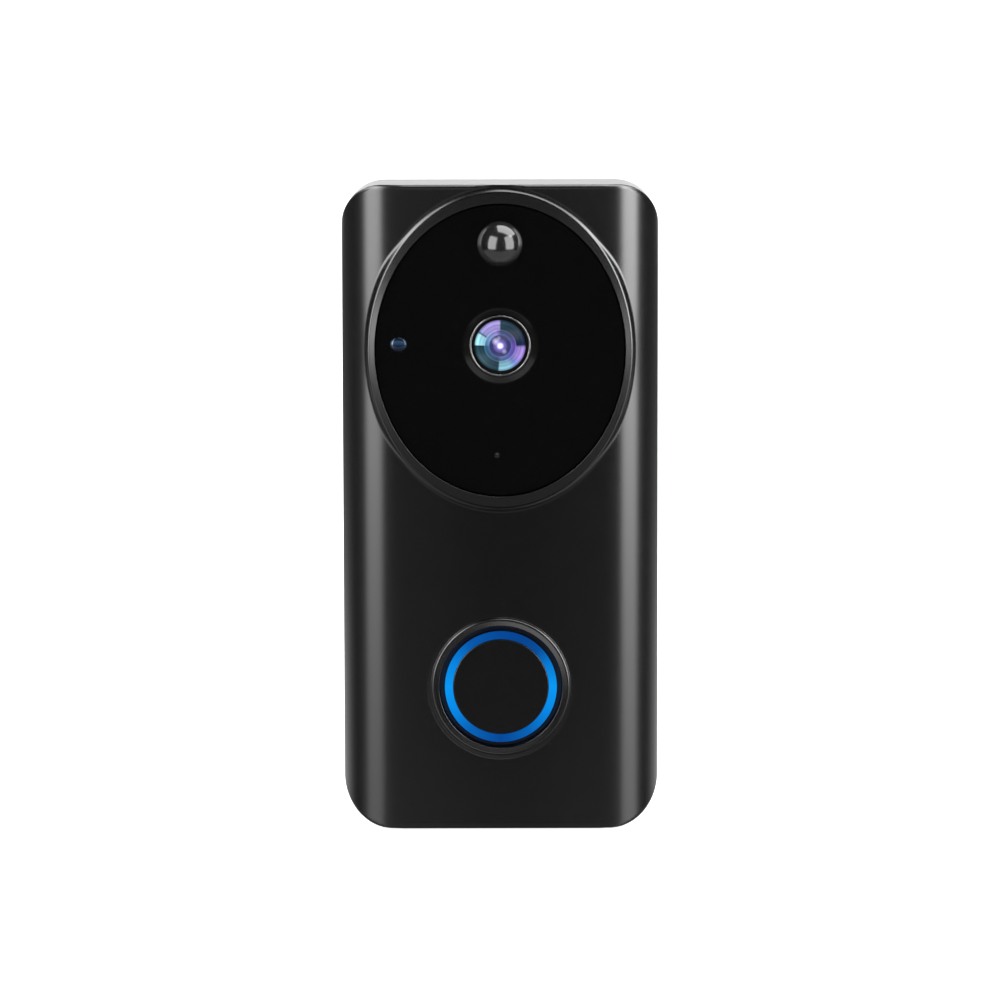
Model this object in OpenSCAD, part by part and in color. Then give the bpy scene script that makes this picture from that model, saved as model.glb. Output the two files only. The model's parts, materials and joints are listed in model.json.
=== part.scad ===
// Battery video doorbell on a slide-on wall bracket.
// Origin: centre of the bracket's wall screw pattern, on the wall plane.
// Front of the doorbell faces -Y, +X is right seen from the front, +Z is up.

/* [Case] */
// Width across the sides
body_w = 66.4; // [60:0.2:75]
// Height from bottom to top
body_h = 135; // [125:1:145]
// Distance from the wall to the flat front face
body_d = 31; // [30.5:0.5:34]
// Radius of the long front edges
edge_r = 13.5; // [11:0.5:15]
// Radius of the top corners
top_r = 8.7; // [8:0.1:10]
// Radius of the bottom corners
bottom_r = 10.1; // [9:0.1:11]
// Front shell wall thickness
front_wall = 2.2; // [1.8:0.1:2.4]
// Rear shell wall thickness
rear_wall = 2.0; // [1.8:0.1:2.4]
// Distance of the parting line from the wall
parting = 12; // [11.5:0.5:13]

/* [Head window] */
// Height of the window centre above the middle
head_z = 33.2; // [32:0.1:34]
// Half width of the glass panel
glass_a = 26.0; // [25:0.1:26.5]
// Half height of the glass panel
glass_b = 30.4; // [29:0.1:30.6]
// Glass panel thickness
glass_t = 1.8; // [1.5:0.1:2]
// Half width of the raised oval rim
ring_a = 27.9; // [27.5:0.1:28.5]
// Half height of the raised oval rim
ring_b = 33.5; // [33:0.1:33.8]
// Height of the oval rim over the front face
ring_rise = 1.5; // [0.8:0.1:1.5]
// Height of the lens centre above the middle
lens_z = 34.2; // [33:0.1:35]
// Radius of the lens glass
lens_r = 5.3; // [5:0.1:5.6]
// Height of the motion sensor dome centre
pir_z = 55.3; // [54:0.1:56]
// Visible radius of the motion sensor dome
pir_r = 4.7; // [4.5:0.1:4.8]
// How far the dome stands out of the glass
pir_rise = 3.2; // [2:0.1:3.6]
// Sideways place of the small sensor window
window_x = -21.1; // [-21.5:0.1:-20]
// Height of the small sensor window
window_z = 34.5; // [33:0.1:36]
// Width of the small sensor window
window_w = 3.4; // [3:0.1:4]
// Height of the small sensor window opening
window_h = 2.9; // [2:0.1:3]
// Sideways place of the microphone hole
mic_x = -0.7; // [-1:0.1:1]
// Height of the microphone hole
mic_z = 11.4; // [11:0.1:12]
// Radius of the microphone hole
mic_r = 0.55; // [0.4:0.05:0.8]

/* [Button] */
// Height of the button centre (below the middle)
button_z = -37.3; // [-38:0.1:-36]
// Radius of the button cap
cap_r = 10.0; // [9:0.1:10]
// Outer radius of the lit ring
light_r = 11.7; // [11.5:0.1:12]
// Radius of the opening in the shell
opening_r = 12.6; // [12.4:0.1:12.8]
// Radius of the bezel crest
crest_r = 14.1; // [13.9:0.05:14.5]
// Outer radius at the foot of the bezel
bezel_r = 14.9; // [14.8:0.1:16]
// Height of the bezel crest over the front face
bezel_rise = 1.1; // [0.8:0.1:1.4]
// Button travel
press_travel = 0.5; // [0.3:0.1:0.5]

/* [Wall bracket] */
// Bracket plate width
plate_w = 57; // [55:1:57]
// Bracket plate height above the middle
plate_top = 62; // [58:1:62]
// Bracket plate height below the middle
plate_bottom = 60.5; // [58:0.5:61]
// Bracket plate thickness
plate_t = 2.2; // [2:0.1:2.2]
// Side to side distance of the wall screw holes
hole_pitch_x = 30; // [26:1:34]
// Up and down distance of the wall screw holes
hole_pitch_z = 88; // [80:1:96]
// Radius of the wall screw holes
hole_r = 2.1; // [2:0.1:2.4]
// Radius of the countersinks
sink_r = 3.9; // [3.6:0.1:4]
// Sideways place of the hooks
hook_x = 24.6; // [24.4:0.1:24.8]
// Height of the top of each hook stem, above and below the middle
hook_z = 41; // [40:1:42]
// Hook width
hook_w = 5.6; // [5:0.1:6]
// How far a hook rises behind the case wall
hook_rise = 4; // [3:0.5:4]
// Lift that frees the case from the hooks
lift_travel = 4.5; // [3.5:0.5:4.5]

/* [Battery] */
// Cell radius
cell_r = 9.2; // [9:0.1:9.3]
// Cell length
cell_h = 65; // [64:0.5:66]
// Height of the lower end of the cells
cell_z = -52.5; // [-53:0.5:-52]
// Sideways place of each cell
cell_x = 9.5; // [9.4:0.1:9.6]
// Distance of the cell axes from the wall
cell_y = 14.2; // [14:0.1:14.4]

/* [Charging port] */
// Sideways place of the charging socket
usb_x = -17.5; // [-18:0.5:-17]
// Distance of the socket's middle from the wall
usb_y = 7.8; // [7.7:0.1:7.9]
// Sideways place of the reset button
reset_x = -10.2; // [-11:0.1:-10]

/* [Hidden] */
$fn = 64;
fine = 200;
eps = 0.01;
join = 0.5;
half_w = body_w / 2;
half_h = body_h / 2;
front_y = -body_d;
inner_front_y = -(body_d - front_wall);
parting_y = -parting;
rear_y = -0.4;
recess_y = -(plate_t + 0.4);
back_y = recess_y - rear_wall;
recess_w = plate_w + 1.6;
recess_top = plate_top + 1;
recess_bottom = plate_bottom + lift_travel + 0.5;
oval_n = 96;

black = [0.10, 0.10, 0.11];
gloss = [0.03, 0.03, 0.035];
grey = [0.35, 0.36, 0.38];
steel = [0.72, 0.73, 0.75];
brass = [0.80, 0.65, 0.30];
board_green = [0.05, 0.28, 0.16];
board_black = [0.06, 0.07, 0.08];
blue = [0.05, 0.55, 1.0];
rubber = [0.08, 0.08, 0.08];
white = [0.9, 0.9, 0.88];
film_tint = [0.75, 0.45, 0.15];
led_tint = [0.25, 0.2, 0.25];
coated = [0.3, 0.25, 0.5];
filter_tint = [0.5, 0.2, 0.3];
wrap_tint = [0.2, 0.5, 0.75];
film = 0.2;

// ---- helpers -------------------------------------------------------------

// Extrudes a front-view outline from y0 (front) to y1 (back).
module along_y(y0, y1) {
  translate([0, y1, 0]) rotate([90, 0, 0]) linear_extrude(y1 - y0) children();
}

// Round bar along Y from y0 to y1, centred at x, z.
module rod_y(r, y0, y1, x = 0, z = 0) {
  translate([x, y1, z]) rotate([90, 0, 0]) cylinder(r = r, h = y1 - y0);
}

// Cone along Y, radius r0 at y0 and r1 at y1.
module cone_y(r0, r1, y0, y1, x = 0, z = 0) {
  translate([x, y0, z]) rotate([-90, 0, 0]) cylinder(r1 = r0, r2 = r1, h = y1 - y0);
}

// Turned profile about an axis along Y: profile points are [radius, y].
module turned_y(points, x = 0, z = 0) {
  translate([x, 0, z]) rotate([-90, 0, 0]) rotate_extrude() polygon(points);
}

// Box between two corners.
module block(a, b) {
  translate(a) cube(b - a);
}

// Straight round wire from p to q, reaching past both ends.
module wire_leg(p, q, r) {
  d = q - p;
  len = norm(d);
  translate(p) rotate([0, acos(d[2] / len), atan2(d[1], d[0])]) translate([0, 0, -r / 2])
    cylinder(r = r, h = len + r, $fn = 16);
}

// Round wire through a list of points.
module wire(points, r) {
  for (i = [0 : len(points) - 2]) wire_leg(points[i], points[i + 1], r);
}

// Rounded upright rectangle from z0 to z1 with corner radius r.
module round_box(w, z0, z1, r) {
  translate([-w / 2, z0 + r]) square([w, z1 - z0 - 2 * r]);
  translate([r - w / 2, z0]) square([w - 2 * r, z1 - z0]);
  for (s = [-1, 1], z = [z0 + r, z1 - r]) translate([s * (w / 2 - r), z]) circle(r = r);
}

// Stadium outline of length l and width w.
module stadium(l, w) {
  square([l - w, w], center = true);
  for (s = [-1, 1]) translate([s * (l - w) / 2, 0]) circle(d = w);
}

// Oval with half sizes a and b.
module oval(a, b) {
  polygon([for (i = [0 : oval_n - 1]) [a * cos(360 * i / oval_n), b * sin(360 * i / oval_n)]]);
}

// Oval band between y0 and y1 about the head window centre.
module oval_band(a, b, wall, y0, y1) {
  translate([0, 0, head_z]) along_y(y0, y1) difference() {
    oval(a, b);
    oval(a - wall, b - wall);
  }
}

// Front view outline of the case, drawn in by inset.
module case_outline(inset) {
  w = body_w - 2 * inset;
  h = body_h - 2 * inset;
  rt = top_r - inset;
  rb = bottom_r - inset;
  translate([-w / 2, rb - h / 2]) square([w, h - rb - rt]);
  translate([rt - w / 2, 0]) square([w - 2 * rt, h / 2]);
  translate([rb - w / 2, -h / 2]) square([w - 2 * rb, h / 2]);
  for (s = [-1, 1]) {
    translate([s * (w / 2 - rt), h / 2 - rt]) circle(r = rt);
    translate([s * (w / 2 - rb), rb - h / 2]) circle(r = rb);
  }
}

// Plan view outline of the case with its rounded front edges, drawn in by inset.
module case_plan(inset) {
  w = body_w - 2 * inset;
  r = edge_r - inset;
  y0 = inset - body_d;
  translate([-w / 2, y0 + r]) square([w, body_d]);
  translate([r - w / 2, y0]) square([w - 2 * r, body_d]);
  for (s = [-1, 1]) translate([s * (w / 2 - r), y0 + r]) circle(r = r);
}

// Case envelope drawn in by inset, between y0 and y1.
module case_solid(inset, y0, y1) {
  intersection() {
    translate([0, 0, -body_h]) linear_extrude(2 * body_h) case_plan(inset);
    along_y(y0, y1) case_outline(inset);
  }
}

// ---- wall bracket --------------------------------------------------------

hook_stem = 2.4;
hook_head_y = back_y - 0.2;
hook_tip_y = hook_head_y - 2;
lip_w = 11;
lip_y = -9.6;
lip_t = 2.4;
lip_screw_y = -6.2;
foot_z = -half_h;

module hook(x, z) {
  block([x - hook_w / 2, hook_tip_y, z - hook_stem], [x + hook_w / 2, -plate_t + eps, z]);
  block([x - hook_w / 2, hook_tip_y, z - hook_stem], [x + hook_w / 2, hook_head_y, z + hook_rise]);
}

module wall_bracket() {
  corner_r = 7;
  slot_w = 12;
  slot_h = 12.8;
  slot_x = 10;
  slot_pitch = 21;
  color(black) difference() {
    union() {
      along_y(-plate_t, 0) round_box(plate_w, -plate_bottom, plate_top, corner_r);
      for (s = [-1, 1], z = [-hook_z, hook_z]) hook(s * hook_x, z);
      block([-lip_w / 2, -plate_t, foot_z], [lip_w / 2, 0, -plate_bottom + join]);
      block([-lip_w / 2, lip_y, foot_z], [lip_w / 2, 0, foot_z + lip_t]);
    }
    for (s = [-1, 1], z = [-1, 1]) {
      rod_y(hole_r, -plate_t - 1, 1, s * hole_pitch_x / 2, z * hole_pitch_z / 2);
      cone_y(sink_r + 0.1, hole_r - 0.1, -plate_t - 0.1, 0.1 - (plate_t - (sink_r - hole_r)),
        s * hole_pitch_x / 2, z * hole_pitch_z / 2);
    }
    for (s = [-1, 1], z = [-1, 0, 1])
      block([s * slot_x - slot_w / 2, -plate_t - 1, z * slot_pitch - slot_h / 2],
        [s * slot_x + slot_w / 2, 1, z * slot_pitch + slot_h / 2]);
    translate([0, lip_screw_y, foot_z - 1]) cylinder(r = 1.7, h = lip_t + 2);
    translate([0, lip_screw_y, foot_z - 0.1]) cylinder(r = 3, h = 1.3);
  }
}

module security_screw() {
  head_h = 1.1;
  tip_z = -58.6;
  color(steel) difference() {
    union() {
      translate([0, lip_screw_y, foot_z + 0.05]) cylinder(r = 2.8, h = head_h);
      translate([0, lip_screw_y, foot_z + 0.05]) cylinder(r = 1.5, h = tip_z - foot_z);
    }
    translate([0, lip_screw_y, foot_z - 1]) cylinder(r = 1.1, h = 1.8, $fn = 6);
  }
}

// ---- case shells ---------------------------------------------------------

// Case screw places as [x, z].
case_screw_at = [for (s = [-1, 1], p = [[25.6, 56.5], [25.2, 0], [25.2, -53.5]]) [s * p[0], p[1]]];
screw_seat_y = back_y + 0.2;
case_pilot_r = 1.3;

glass_y = front_y - 0.4;
glass_back_y = glass_y + glass_t;
tape_t = 0.2;
ledge_y = glass_back_y + tape_t;
pocket_a = glass_a + 1.2;
pocket_b = glass_b + 2.3;
rim_y = front_y - ring_rise;
rim_bevel = 0.5;
ring_slope = 0.46;
slab = 0.05;
window_in = 1.5;

// Head board and button board screw places as [x, z].
head_screw_at = [for (s = [-1, 1], p = [[18.5, 58.5], [24.6, 20.5]]) [s * p[0], p[1]]];
head_board_y = -23.9;
board_t = 1.6;

speaker_y = -20;
grille_pitch = 3;
seal_in = 0.6;
seal_w = 0.8;
seal_front = 0.4;
seal_back = 0.8;

module seal_line(y0, y1, play) {
  along_y(y0, y1) difference() {
    case_outline(seal_in - play);
    case_outline(seal_in + seal_w + play);
  }
}

module front_shell() {
  bezel_foot = front_y + join;
  rim_low_y = rim_y + ring_slope + rim_bevel;
  crest_y = front_y - bezel_rise;
  crest_edge = 0.2;
  lip_rise_y = crest_y + 0.34;
  collar_r = 13.6;
  collar_wall = 1.2;
  collar_y = -27.2;
  color(black) difference() {
    union() {
      difference() {
        case_solid(0, front_y, parting_y);
        case_solid(front_wall, front_y - 1, parting_y + 1);
      }
      intersection() {
        case_solid(1, front_y, parting_y);
        union() {
          for (p = case_screw_at) rod_y(3, inner_front_y - join, parting_y, p[0], p[1]);
          for (p = head_screw_at) rod_y(2.2, inner_front_y - join, head_board_y, p[0], p[1]);
          for (s = [-1, 1]) rod_y(1.8, inner_front_y - join, head_board_y - 0.8, s * 24.5, 2);
        }
      }
      translate([0, 0, head_z]) {
        along_y(rim_low_y, inner_front_y + 3) oval(ring_a, ring_b);
        hull() {
          along_y(rim_y + ring_slope, rim_y + ring_slope + slab) oval(pocket_a + 0.1, pocket_b + 0.1);
          along_y(rim_low_y, rim_low_y + slab) oval(ring_a, ring_b);
        }
      }
      turned_y([[opening_r, bezel_foot], [opening_r, lip_rise_y], [opening_r + crest_edge, lip_rise_y - 0.05],
        [crest_r - 3 * crest_edge, crest_y + 0.12], [crest_r - crest_edge, crest_y],
        [crest_r + crest_edge, crest_y + 0.15], [bezel_r - 0.15, front_y - 0.3], [bezel_r, front_y],
        [bezel_r, bezel_foot]], 0, button_z);
      turned_y([[collar_r, inner_front_y - join], [collar_r, collar_y], [collar_r + collar_wall, collar_y],
        [collar_r + collar_wall, inner_front_y - join]], 0, button_z);
    }
    translate([0, 0, head_z]) {
      along_y(rim_y - 1, ledge_y) oval(pocket_a, pocket_b);
      along_y(rim_y - 1, parting_y) oval(glass_a - window_in, glass_b - window_in);
    }
    rod_y(opening_r, front_y - 1, inner_front_y + 1, 0, button_z);
    for (p = case_screw_at) rod_y(case_pilot_r, parting_y - 9, parting_y + 1, p[0], p[1]);
    for (p = head_screw_at) rod_y(0.85, head_board_y - 3, head_board_y + 1, p[0], p[1]);
    for (i = [-4 : 4]) translate([i * grille_pitch, speaker_y, -half_h - 1])
      linear_extrude(front_wall + 2) rotate(90) stadium(8, 1.2);
    seal_line(parting_y - seal_front, parting_y + 1, 0.05);
  }
}

hook_gap = 0.4;
pocket_w = hook_w + 2 * hook_gap;
pocket_low = hook_stem + lift_travel + hook_gap;
pocket_high = hook_rise + 0.6;
pocket_y = hook_tip_y - 0.4;
pocket_wall = 1.2;

main_board_y = -8.9;
main_board_low = 19.5;
main_board_top = 62.5;
main_screw_at = [for (s = [-1, 1], z = [22.5, 59.5]) [s * 17, z]];

door_w = 39.2;
door_low = -57.3;
door_top = 16.4;
door_r = 2.5;
door_land = 1.2;
door_y = -3.5;
door_seat_y = -3.8;

insert_r = 2.4;
insert_low = -64.4;
insert_top = -59.6;
notch_gap = 0.3;
notch_top = foot_z + lip_t + 0.2;

cover_x0 = -22.7;
cover_x1 = -7.9;
cover_front = -10.6;
cover_depth = 1.2;
cover_gap = 0.2;
cover_pin_y = -4.4;
cover_pin_z = -66.75;
cover_pin_r = 0.5;

// Closed box around one hook, inside the rear shell.
module hook_pocket(x, z) {
  half = pocket_w / 2 + pocket_wall;
  block([x - half, pocket_y - pocket_wall, z - pocket_low - pocket_wall],
    [x + half, back_y + join, z + pocket_high + pocket_wall]);
}

module rear_shell() {
  screw_block = 7;
  insert_block = 4;
  color(black) difference() {
    union() {
      difference() {
        case_solid(0, parting_y, rear_y);
        case_solid(rear_wall, parting_y - 1, back_y);
      }
      intersection() {
        case_solid(1, parting_y, rear_y);
        union() {
          for (p = case_screw_at) rod_y(3.8, parting_y, back_y + join, p[0], p[1]);
          for (p = main_screw_at) rod_y(2.3, main_board_y + board_t, back_y + join, p[0], p[1]);
          for (s = [-1, 1], z = [-hook_z, hook_z]) hook_pocket(s * hook_x, z);
          block([-screw_block, parting_y + 0.9, -half_h], [screw_block, back_y + join, notch_top + 1.4]);
          block([-insert_block, lip_screw_y - 3.6, notch_top],
            [insert_block, back_y + join, insert_top + 0.4]);
        }
      }
    }
    along_y(recess_y, 1) round_box(recess_w, -recess_bottom, recess_top, 8);
    for (s = [-1, 1], z = [-hook_z, hook_z]) {
      block([s * hook_x - pocket_w / 2, recess_y - rear_wall - eps, z - pocket_low],
        [s * hook_x + pocket_w / 2, 0, z + 0.1]);
      block([s * hook_x - pocket_w / 2, pocket_y, z - pocket_low],
        [s * hook_x + pocket_w / 2, back_y, z + pocket_high]);
    }
    along_y(door_seat_y, 0) round_box(door_w + 0.3, door_low - 0.15, door_top + 0.15, door_r);
    along_y(back_y - 1, 0)
      round_box(door_w - 2 * door_land, door_low + door_land, door_top - door_land, door_r);
    for (p = case_screw_at) {
      rod_y(1.6, parting_y - 1, 0, p[0], p[1]);
      rod_y(2.9, screw_seat_y, 0, p[0], p[1]);
    }
    for (p = main_screw_at) rod_y(0.85, main_board_y, back_y - 0.8, p[0], p[1]);
    seal_line(parting_y - 1, parting_y + seal_back, 0.05);
    block([-lip_w / 2 - notch_gap, lip_y - notch_gap, -half_h - 1], [lip_w / 2 + notch_gap, 1, notch_top]);
    translate([0, lip_screw_y, insert_low]) cylinder(r = insert_r + 0.02, h = insert_top - insert_low);
    translate([0, lip_screw_y, -half_h]) cylinder(r = 1.75, h = 12);
    block([cover_x0 - cover_gap, cover_front - cover_gap, -half_h - 1],
      [cover_x1 + cover_gap, cover_pin_y + 1.1, cover_depth - half_h]);
    translate([cover_x0 - 1, cover_pin_y, cover_pin_z]) rotate([0, 90, 0])
      cylinder(r = cover_pin_r + 0.05, h = cover_x1 - cover_x0 + 2);
    translate([usb_x, -usb_y, -half_h]) linear_extrude(4) stadium(9.8, 3.7);
    translate([reset_x, -usb_y, -half_h]) cylinder(r = 0.97, h = 4);
  }
}

module shell_seal() {
  color(rubber) seal_line(parting_y - seal_front, parting_y + seal_back, 0);
}

module case_screws() {
  color(steel) for (p = case_screw_at) difference() {
    union() {
      rod_y(2.6, screw_seat_y, recess_y - 0.2, p[0], p[1]);
      rod_y(1.25, parting_y - 8, screw_seat_y + eps, p[0], p[1]);
    }
    rod_y(1.1, screw_seat_y + 0.5, recess_y, p[0], p[1], $fn = 6);
  }
}

module screw_insert() {
  color(brass) translate([0, lip_screw_y, insert_low]) difference() {
    cylinder(r = insert_r, h = insert_top - insert_low);
    translate([0, 0, -1]) cylinder(r = 1.55, h = insert_top - insert_low + 2);
  }
}

// ---- head window ---------------------------------------------------------

module head_ring() {
  play = 0.15;
  land = 0.15;
  color(black) translate([0, 0, head_z]) difference() {
    hull() {
      along_y(rim_y, rim_y + slab) oval(glass_a + play + land, glass_b + play + land);
      along_y(rim_y + ring_slope, ledge_y) oval(pocket_a - 0.05, pocket_b - 0.05);
    }
    along_y(rim_y - 1, ledge_y + 1) oval(glass_a + play, glass_b + play);
  }
}

trim_hole_r = 6.35;
module front_panel() {
  bevel = 0.3;
  color(gloss) difference() {
    translate([0, 0, head_z]) union() {
      along_y(glass_y + bevel, glass_back_y) oval(glass_a, glass_b);
      hull() {
        along_y(glass_y + bevel, glass_y + bevel + slab) oval(glass_a, glass_b);
        along_y(glass_y, glass_y + slab) oval(glass_a - bevel, glass_b - bevel);
      }
    }
    rod_y(trim_hole_r, glass_y - 1, glass_back_y + 1, 0, lens_z);
    cone_y(trim_hole_r + 1.5, trim_hole_r + 0.3, glass_y - eps, glass_y + 0.25, 0, lens_z);
    rod_y(pir_r + 0.05, glass_y - 1, glass_back_y + 1, 0, pir_z);
    rod_y(mic_r, glass_y - 1, glass_back_y + 1, mic_x, mic_z);
    translate([window_x, 0, window_z]) along_y(glass_y - 1, glass_back_y + 1)
      stadium(window_w + 0.06, window_h + 0.06);
  }
}

module panel_adhesive() {
  color(grey) oval_band(glass_a - 0.2, glass_b - 0.2, window_in - 0.3, glass_back_y, ledge_y);
}

module lens_trim_ring() {
  flange_y = glass_back_y + 0.6;
  color(steel) turned_y([[6.0, glass_y - 0.2], [6.1, glass_y - 0.35], [6.2, glass_y - 0.35],
    [6.3, glass_y - 0.2], [6.3, glass_back_y + 0.02], [7.6, glass_back_y + 0.02],
    [7.6, flange_y], [6.0, flange_y]], 0, lens_z);
}

barrel_front = -30.9;
barrel_back = -15.8;
lens_seat = barrel_front + 1.5;
module front_lens() {
  rise = 0.9;
  ball = (lens_r * lens_r + rise * rise) / (2 * rise);
  color(coated) intersection() {
    translate([0, barrel_front - rise + ball, lens_z]) sphere(r = ball, $fn = fine);
    rod_y(lens_r, barrel_front - 2, lens_seat, 0, lens_z);
  }
}

module inner_lens() {
  ball = 9;
  bulge = 1.4;
  color(coated) intersection() {
    translate([0, -23 - bulge + ball, lens_z]) sphere(r = ball, $fn = fine);
    rod_y(4, -26, -22, 0, lens_z);
  }
}

module lens_barrel() {
  color(black) turned_y([[5.35, barrel_front], [5.9, barrel_front], [5.9, -23], [6.0, -23],
    [6.0, barrel_back], [3.4, barrel_back], [3.4, -22], [4.05, -22], [4.05, -26],
    [4.6, lens_seat], [5.35, lens_seat]], 0, lens_z);
}

camera_board_y = -13.6;
camera_back_y = camera_board_y + board_t;
camera_screw = 8;
module lens_holder() {
  base = 20;
  chip_bay = 12;
  bay_y = camera_board_y - 1.8;
  color(black) difference() {
    union() {
      block([-base / 2, -17, lens_z - base / 2], [base / 2, camera_board_y, lens_z + base / 2]);
      rod_y(9.2, head_board_y + board_t, -17 + eps, 0, lens_z);
    }
    rod_y(6.05, -30, bay_y + eps, 0, lens_z);
    block([-chip_bay / 2, bay_y, lens_z - chip_bay / 2], [chip_bay / 2, 0, lens_z + chip_bay / 2]);
    for (s = [-1, 1]) rod_y(0.65, -16.2, -13, s * camera_screw, lens_z + s * camera_screw);
  }
}

module ir_cut_filter() {
  half = 5.9;
  color(filter_tint) block([-half, camera_board_y - 1.8, lens_z - half],
    [half, camera_board_y - 1.3, lens_z + half]);
}

module image_sensor() {
  color(grey) block([-3.6, camera_board_y - 0.9, lens_z - 3.2], [3.6, camera_board_y, lens_z + 3.2]);
}

module camera_board() {
  half = 11;
  color(board_green) difference() {
    block([-half, camera_board_y, lens_z - half], [half, camera_back_y, lens_z + half]);
    for (s = [-1, 1]) rod_y(0.85, -16, -10, s * camera_screw, lens_z + s * camera_screw);
  }
}

module camera_flex() {
  half = 4;
  fold_z = 24;
  color(film_tint) {
    block([-half, camera_back_y, fold_z], [half, camera_back_y + film, fold_z + 4]);
    block([-half, camera_back_y, fold_z - film], [half, main_board_y, fold_z]);
    block([-half, main_board_y - film, fold_z - 2.5], [half, main_board_y, fold_z - film + eps]);
  }
}

module pir_dome() {
  wall = 0.7;
  flange_y = glass_back_y + 0.65;
  ball = (pir_r * pir_r + pir_rise * pir_rise) / (2 * pir_rise);
  ball_y = glass_y - pir_rise + ball;
  color(black) difference() {
    union() {
      intersection() {
        translate([0, ball_y, pir_z]) sphere(r = ball);
        rod_y(pir_r, glass_y - 5, flange_y, 0, pir_z);
      }
      rod_y(6.2, glass_back_y + 0.02, flange_y, 0, pir_z);
    }
    intersection() {
      translate([0, ball_y, pir_z]) sphere(r = ball - wall);
      rod_y(pir_r - wall, glass_y - 5, flange_y + 0.5, 0, pir_z);
    }
  }
}

module pir_sensor() {
  color(steel) {
    rod_y(4.6, head_board_y - 0.6, head_board_y, 0, pir_z);
    rod_y(4.1, -28.2, head_board_y - 0.6 + eps, 0, pir_z);
  }
}

module sensor_window() {
  lip = 0.4;
  color(blue) translate([window_x, 0, window_z]) {
    along_y(glass_y, glass_back_y + 0.1) stadium(window_w, window_h);
    along_y(glass_back_y + 0.02, glass_back_y + 0.7) stadium(window_w + 2 * lip, window_h + 2 * lip);
  }
}

module light_sensor() {
  half = 1;
  color(white) block([window_x - half, head_board_y - 0.9, window_z - half],
    [window_x + half, head_board_y, window_z + half]);
}

module head_board() {
  color(board_black) difference() {
    along_y(head_board_y, head_board_y + board_t) round_box(53, 18, 61.7, 3);
    rod_y(8, -30, -20, 0, lens_z);
    for (p = head_screw_at) rod_y(1.1, -30, -20, p[0], p[1]);
    for (s = [-1, 1]) block([s * 27.6 - 6, -30, 52.6], [s * 27.6 + 6, -20, 70]);
  }
}

module ir_leds() {
  half = 1.75;
  spread = 13;
  bulb = 1.4;
  bulb_y = head_board_y - 1;
  color(led_tint) for (a = [0 : 60 : 300]) translate([spread * cos(a), 0, lens_z + spread * sin(a)]) {
    block([-half, bulb_y - 0.2, -half], [half, head_board_y, half]);
    intersection() {
      translate([0, bulb_y, 0]) sphere(r = bulb);
      rod_y(bulb, bulb_y - 2, bulb_y);
    }
  }
}

mic_board_y = -26.0;
module mic_board() {
  color(board_black) block([mic_x - 4, mic_board_y, mic_z - 5], [mic_x + 4, mic_board_y + 0.8, mic_z + 5]);
}

module microphone() {
  color(brass) difference() {
    block([mic_x - 1.9, mic_board_y - 1.1, mic_z - 1.5], [mic_x + 1.9, mic_board_y, mic_z + 1.5]);
    rod_y(0.4, mic_board_y - 2, mic_board_y - 0.4, mic_x, mic_z);
  }
}

module mic_boot() {
  color(rubber) difference() {
    rod_y(2.2, glass_back_y + 0.02, mic_board_y - 1.12, mic_x, mic_z);
    rod_y(mic_r + 0.1, glass_back_y - 1, mic_board_y, mic_x, mic_z);
  }
}

// ---- main electronics ----------------------------------------------------

module main_board() {
  color(board_green) difference() {
    along_y(main_board_y, main_board_y + board_t) round_box(39, main_board_low, main_board_top, 2);
    for (p = main_screw_at) rod_y(1.1, -12, -5, p[0], p[1]);
  }
}

// Block standing on the front of the main board, centred at x, z.
module on_main(x, z, w, h, t) {
  block([x - w / 2, main_board_y - t, z - h / 2], [x + w / 2, main_board_y, z + h / 2]);
}

module main_chips() {
  color(board_black) {
    on_main(-11, 33, 8, 8, 1.0);
    on_main(-11, 45, 6, 9, 0.9);
    on_main(12, 31, 5, 6, 1.0);
    on_main(0, 59, 5, 3, 0.8);
  }
}

module shield_can() {
  color(steel) on_main(5, 46, 17, 13, 1.9);
}

module main_connectors() {
  color(white) {
    on_main(-9, 59.3, 6, 3.5, 2.2);
    on_main(9.5, 59.3, 6, 3.5, 2.2);
    on_main(14, 53.9, 2.6, 2.6, 1.2);
    on_main(8.5, 23, 7, 3, 1.2);
  }
}

module wifi_antenna() {
  half = 14;
  top_z = half_h - front_wall - 0.05;
  color(film_tint) block([-half, -20.5, top_z - 0.4], [half, -13.5, top_z]);
}

module antenna_cable() {
  color(grey) wire([[8, -15, 64.2], [14, -11.4, 62.6], [15.4, -11.2, 57], [14, -10.7, 53.9]], 0.55);
}

// ---- speaker -------------------------------------------------------------

speaker_l = 30;
speaker_w = 14;
speaker_low = -63.3;
speaker_top = -58.4;
module speaker_slab(z0, z1, inset) {
  translate([0, speaker_y, z0]) linear_extrude(z1 - z0) stadium(speaker_l - 2 * inset, speaker_w - 2 * inset);
}

module speaker_frame() {
  color(black) difference() {
    speaker_slab(speaker_low, speaker_top, 0);
    speaker_slab(speaker_low - 1, speaker_top - 1.6, 1);
    block([-7, speaker_y - 4, -62], [7, speaker_y + 4, -50]);
  }
}

module speaker_cone() {
  color(grey) {
    speaker_slab(speaker_low + 0.1, speaker_low + 0.4, 1.02);
    speaker_slab(speaker_low + 0.1, speaker_low + 1, 3.5);
  }
}

module speaker_magnet() {
  color(steel) block([-6.95, speaker_y - 3.95, -61.6], [6.95, speaker_y + 3.95, speaker_top]);
}

module speaker_gasket() {
  color(rubber) difference() {
    speaker_slab(-65, speaker_low, 0);
    speaker_slab(-66, speaker_low + 1, 1.2);
  }
}

module speaker_mesh() {
  color(grey) speaker_slab(-65.28, -65, 0.3);
}

// ---- button --------------------------------------------------------------

cap_y = -31.3;
flange_front = inner_front_y + 0.15;
flange_back = flange_front + 0.75;
button_board_y = -26.1;
stem_y = -27.65;

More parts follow.
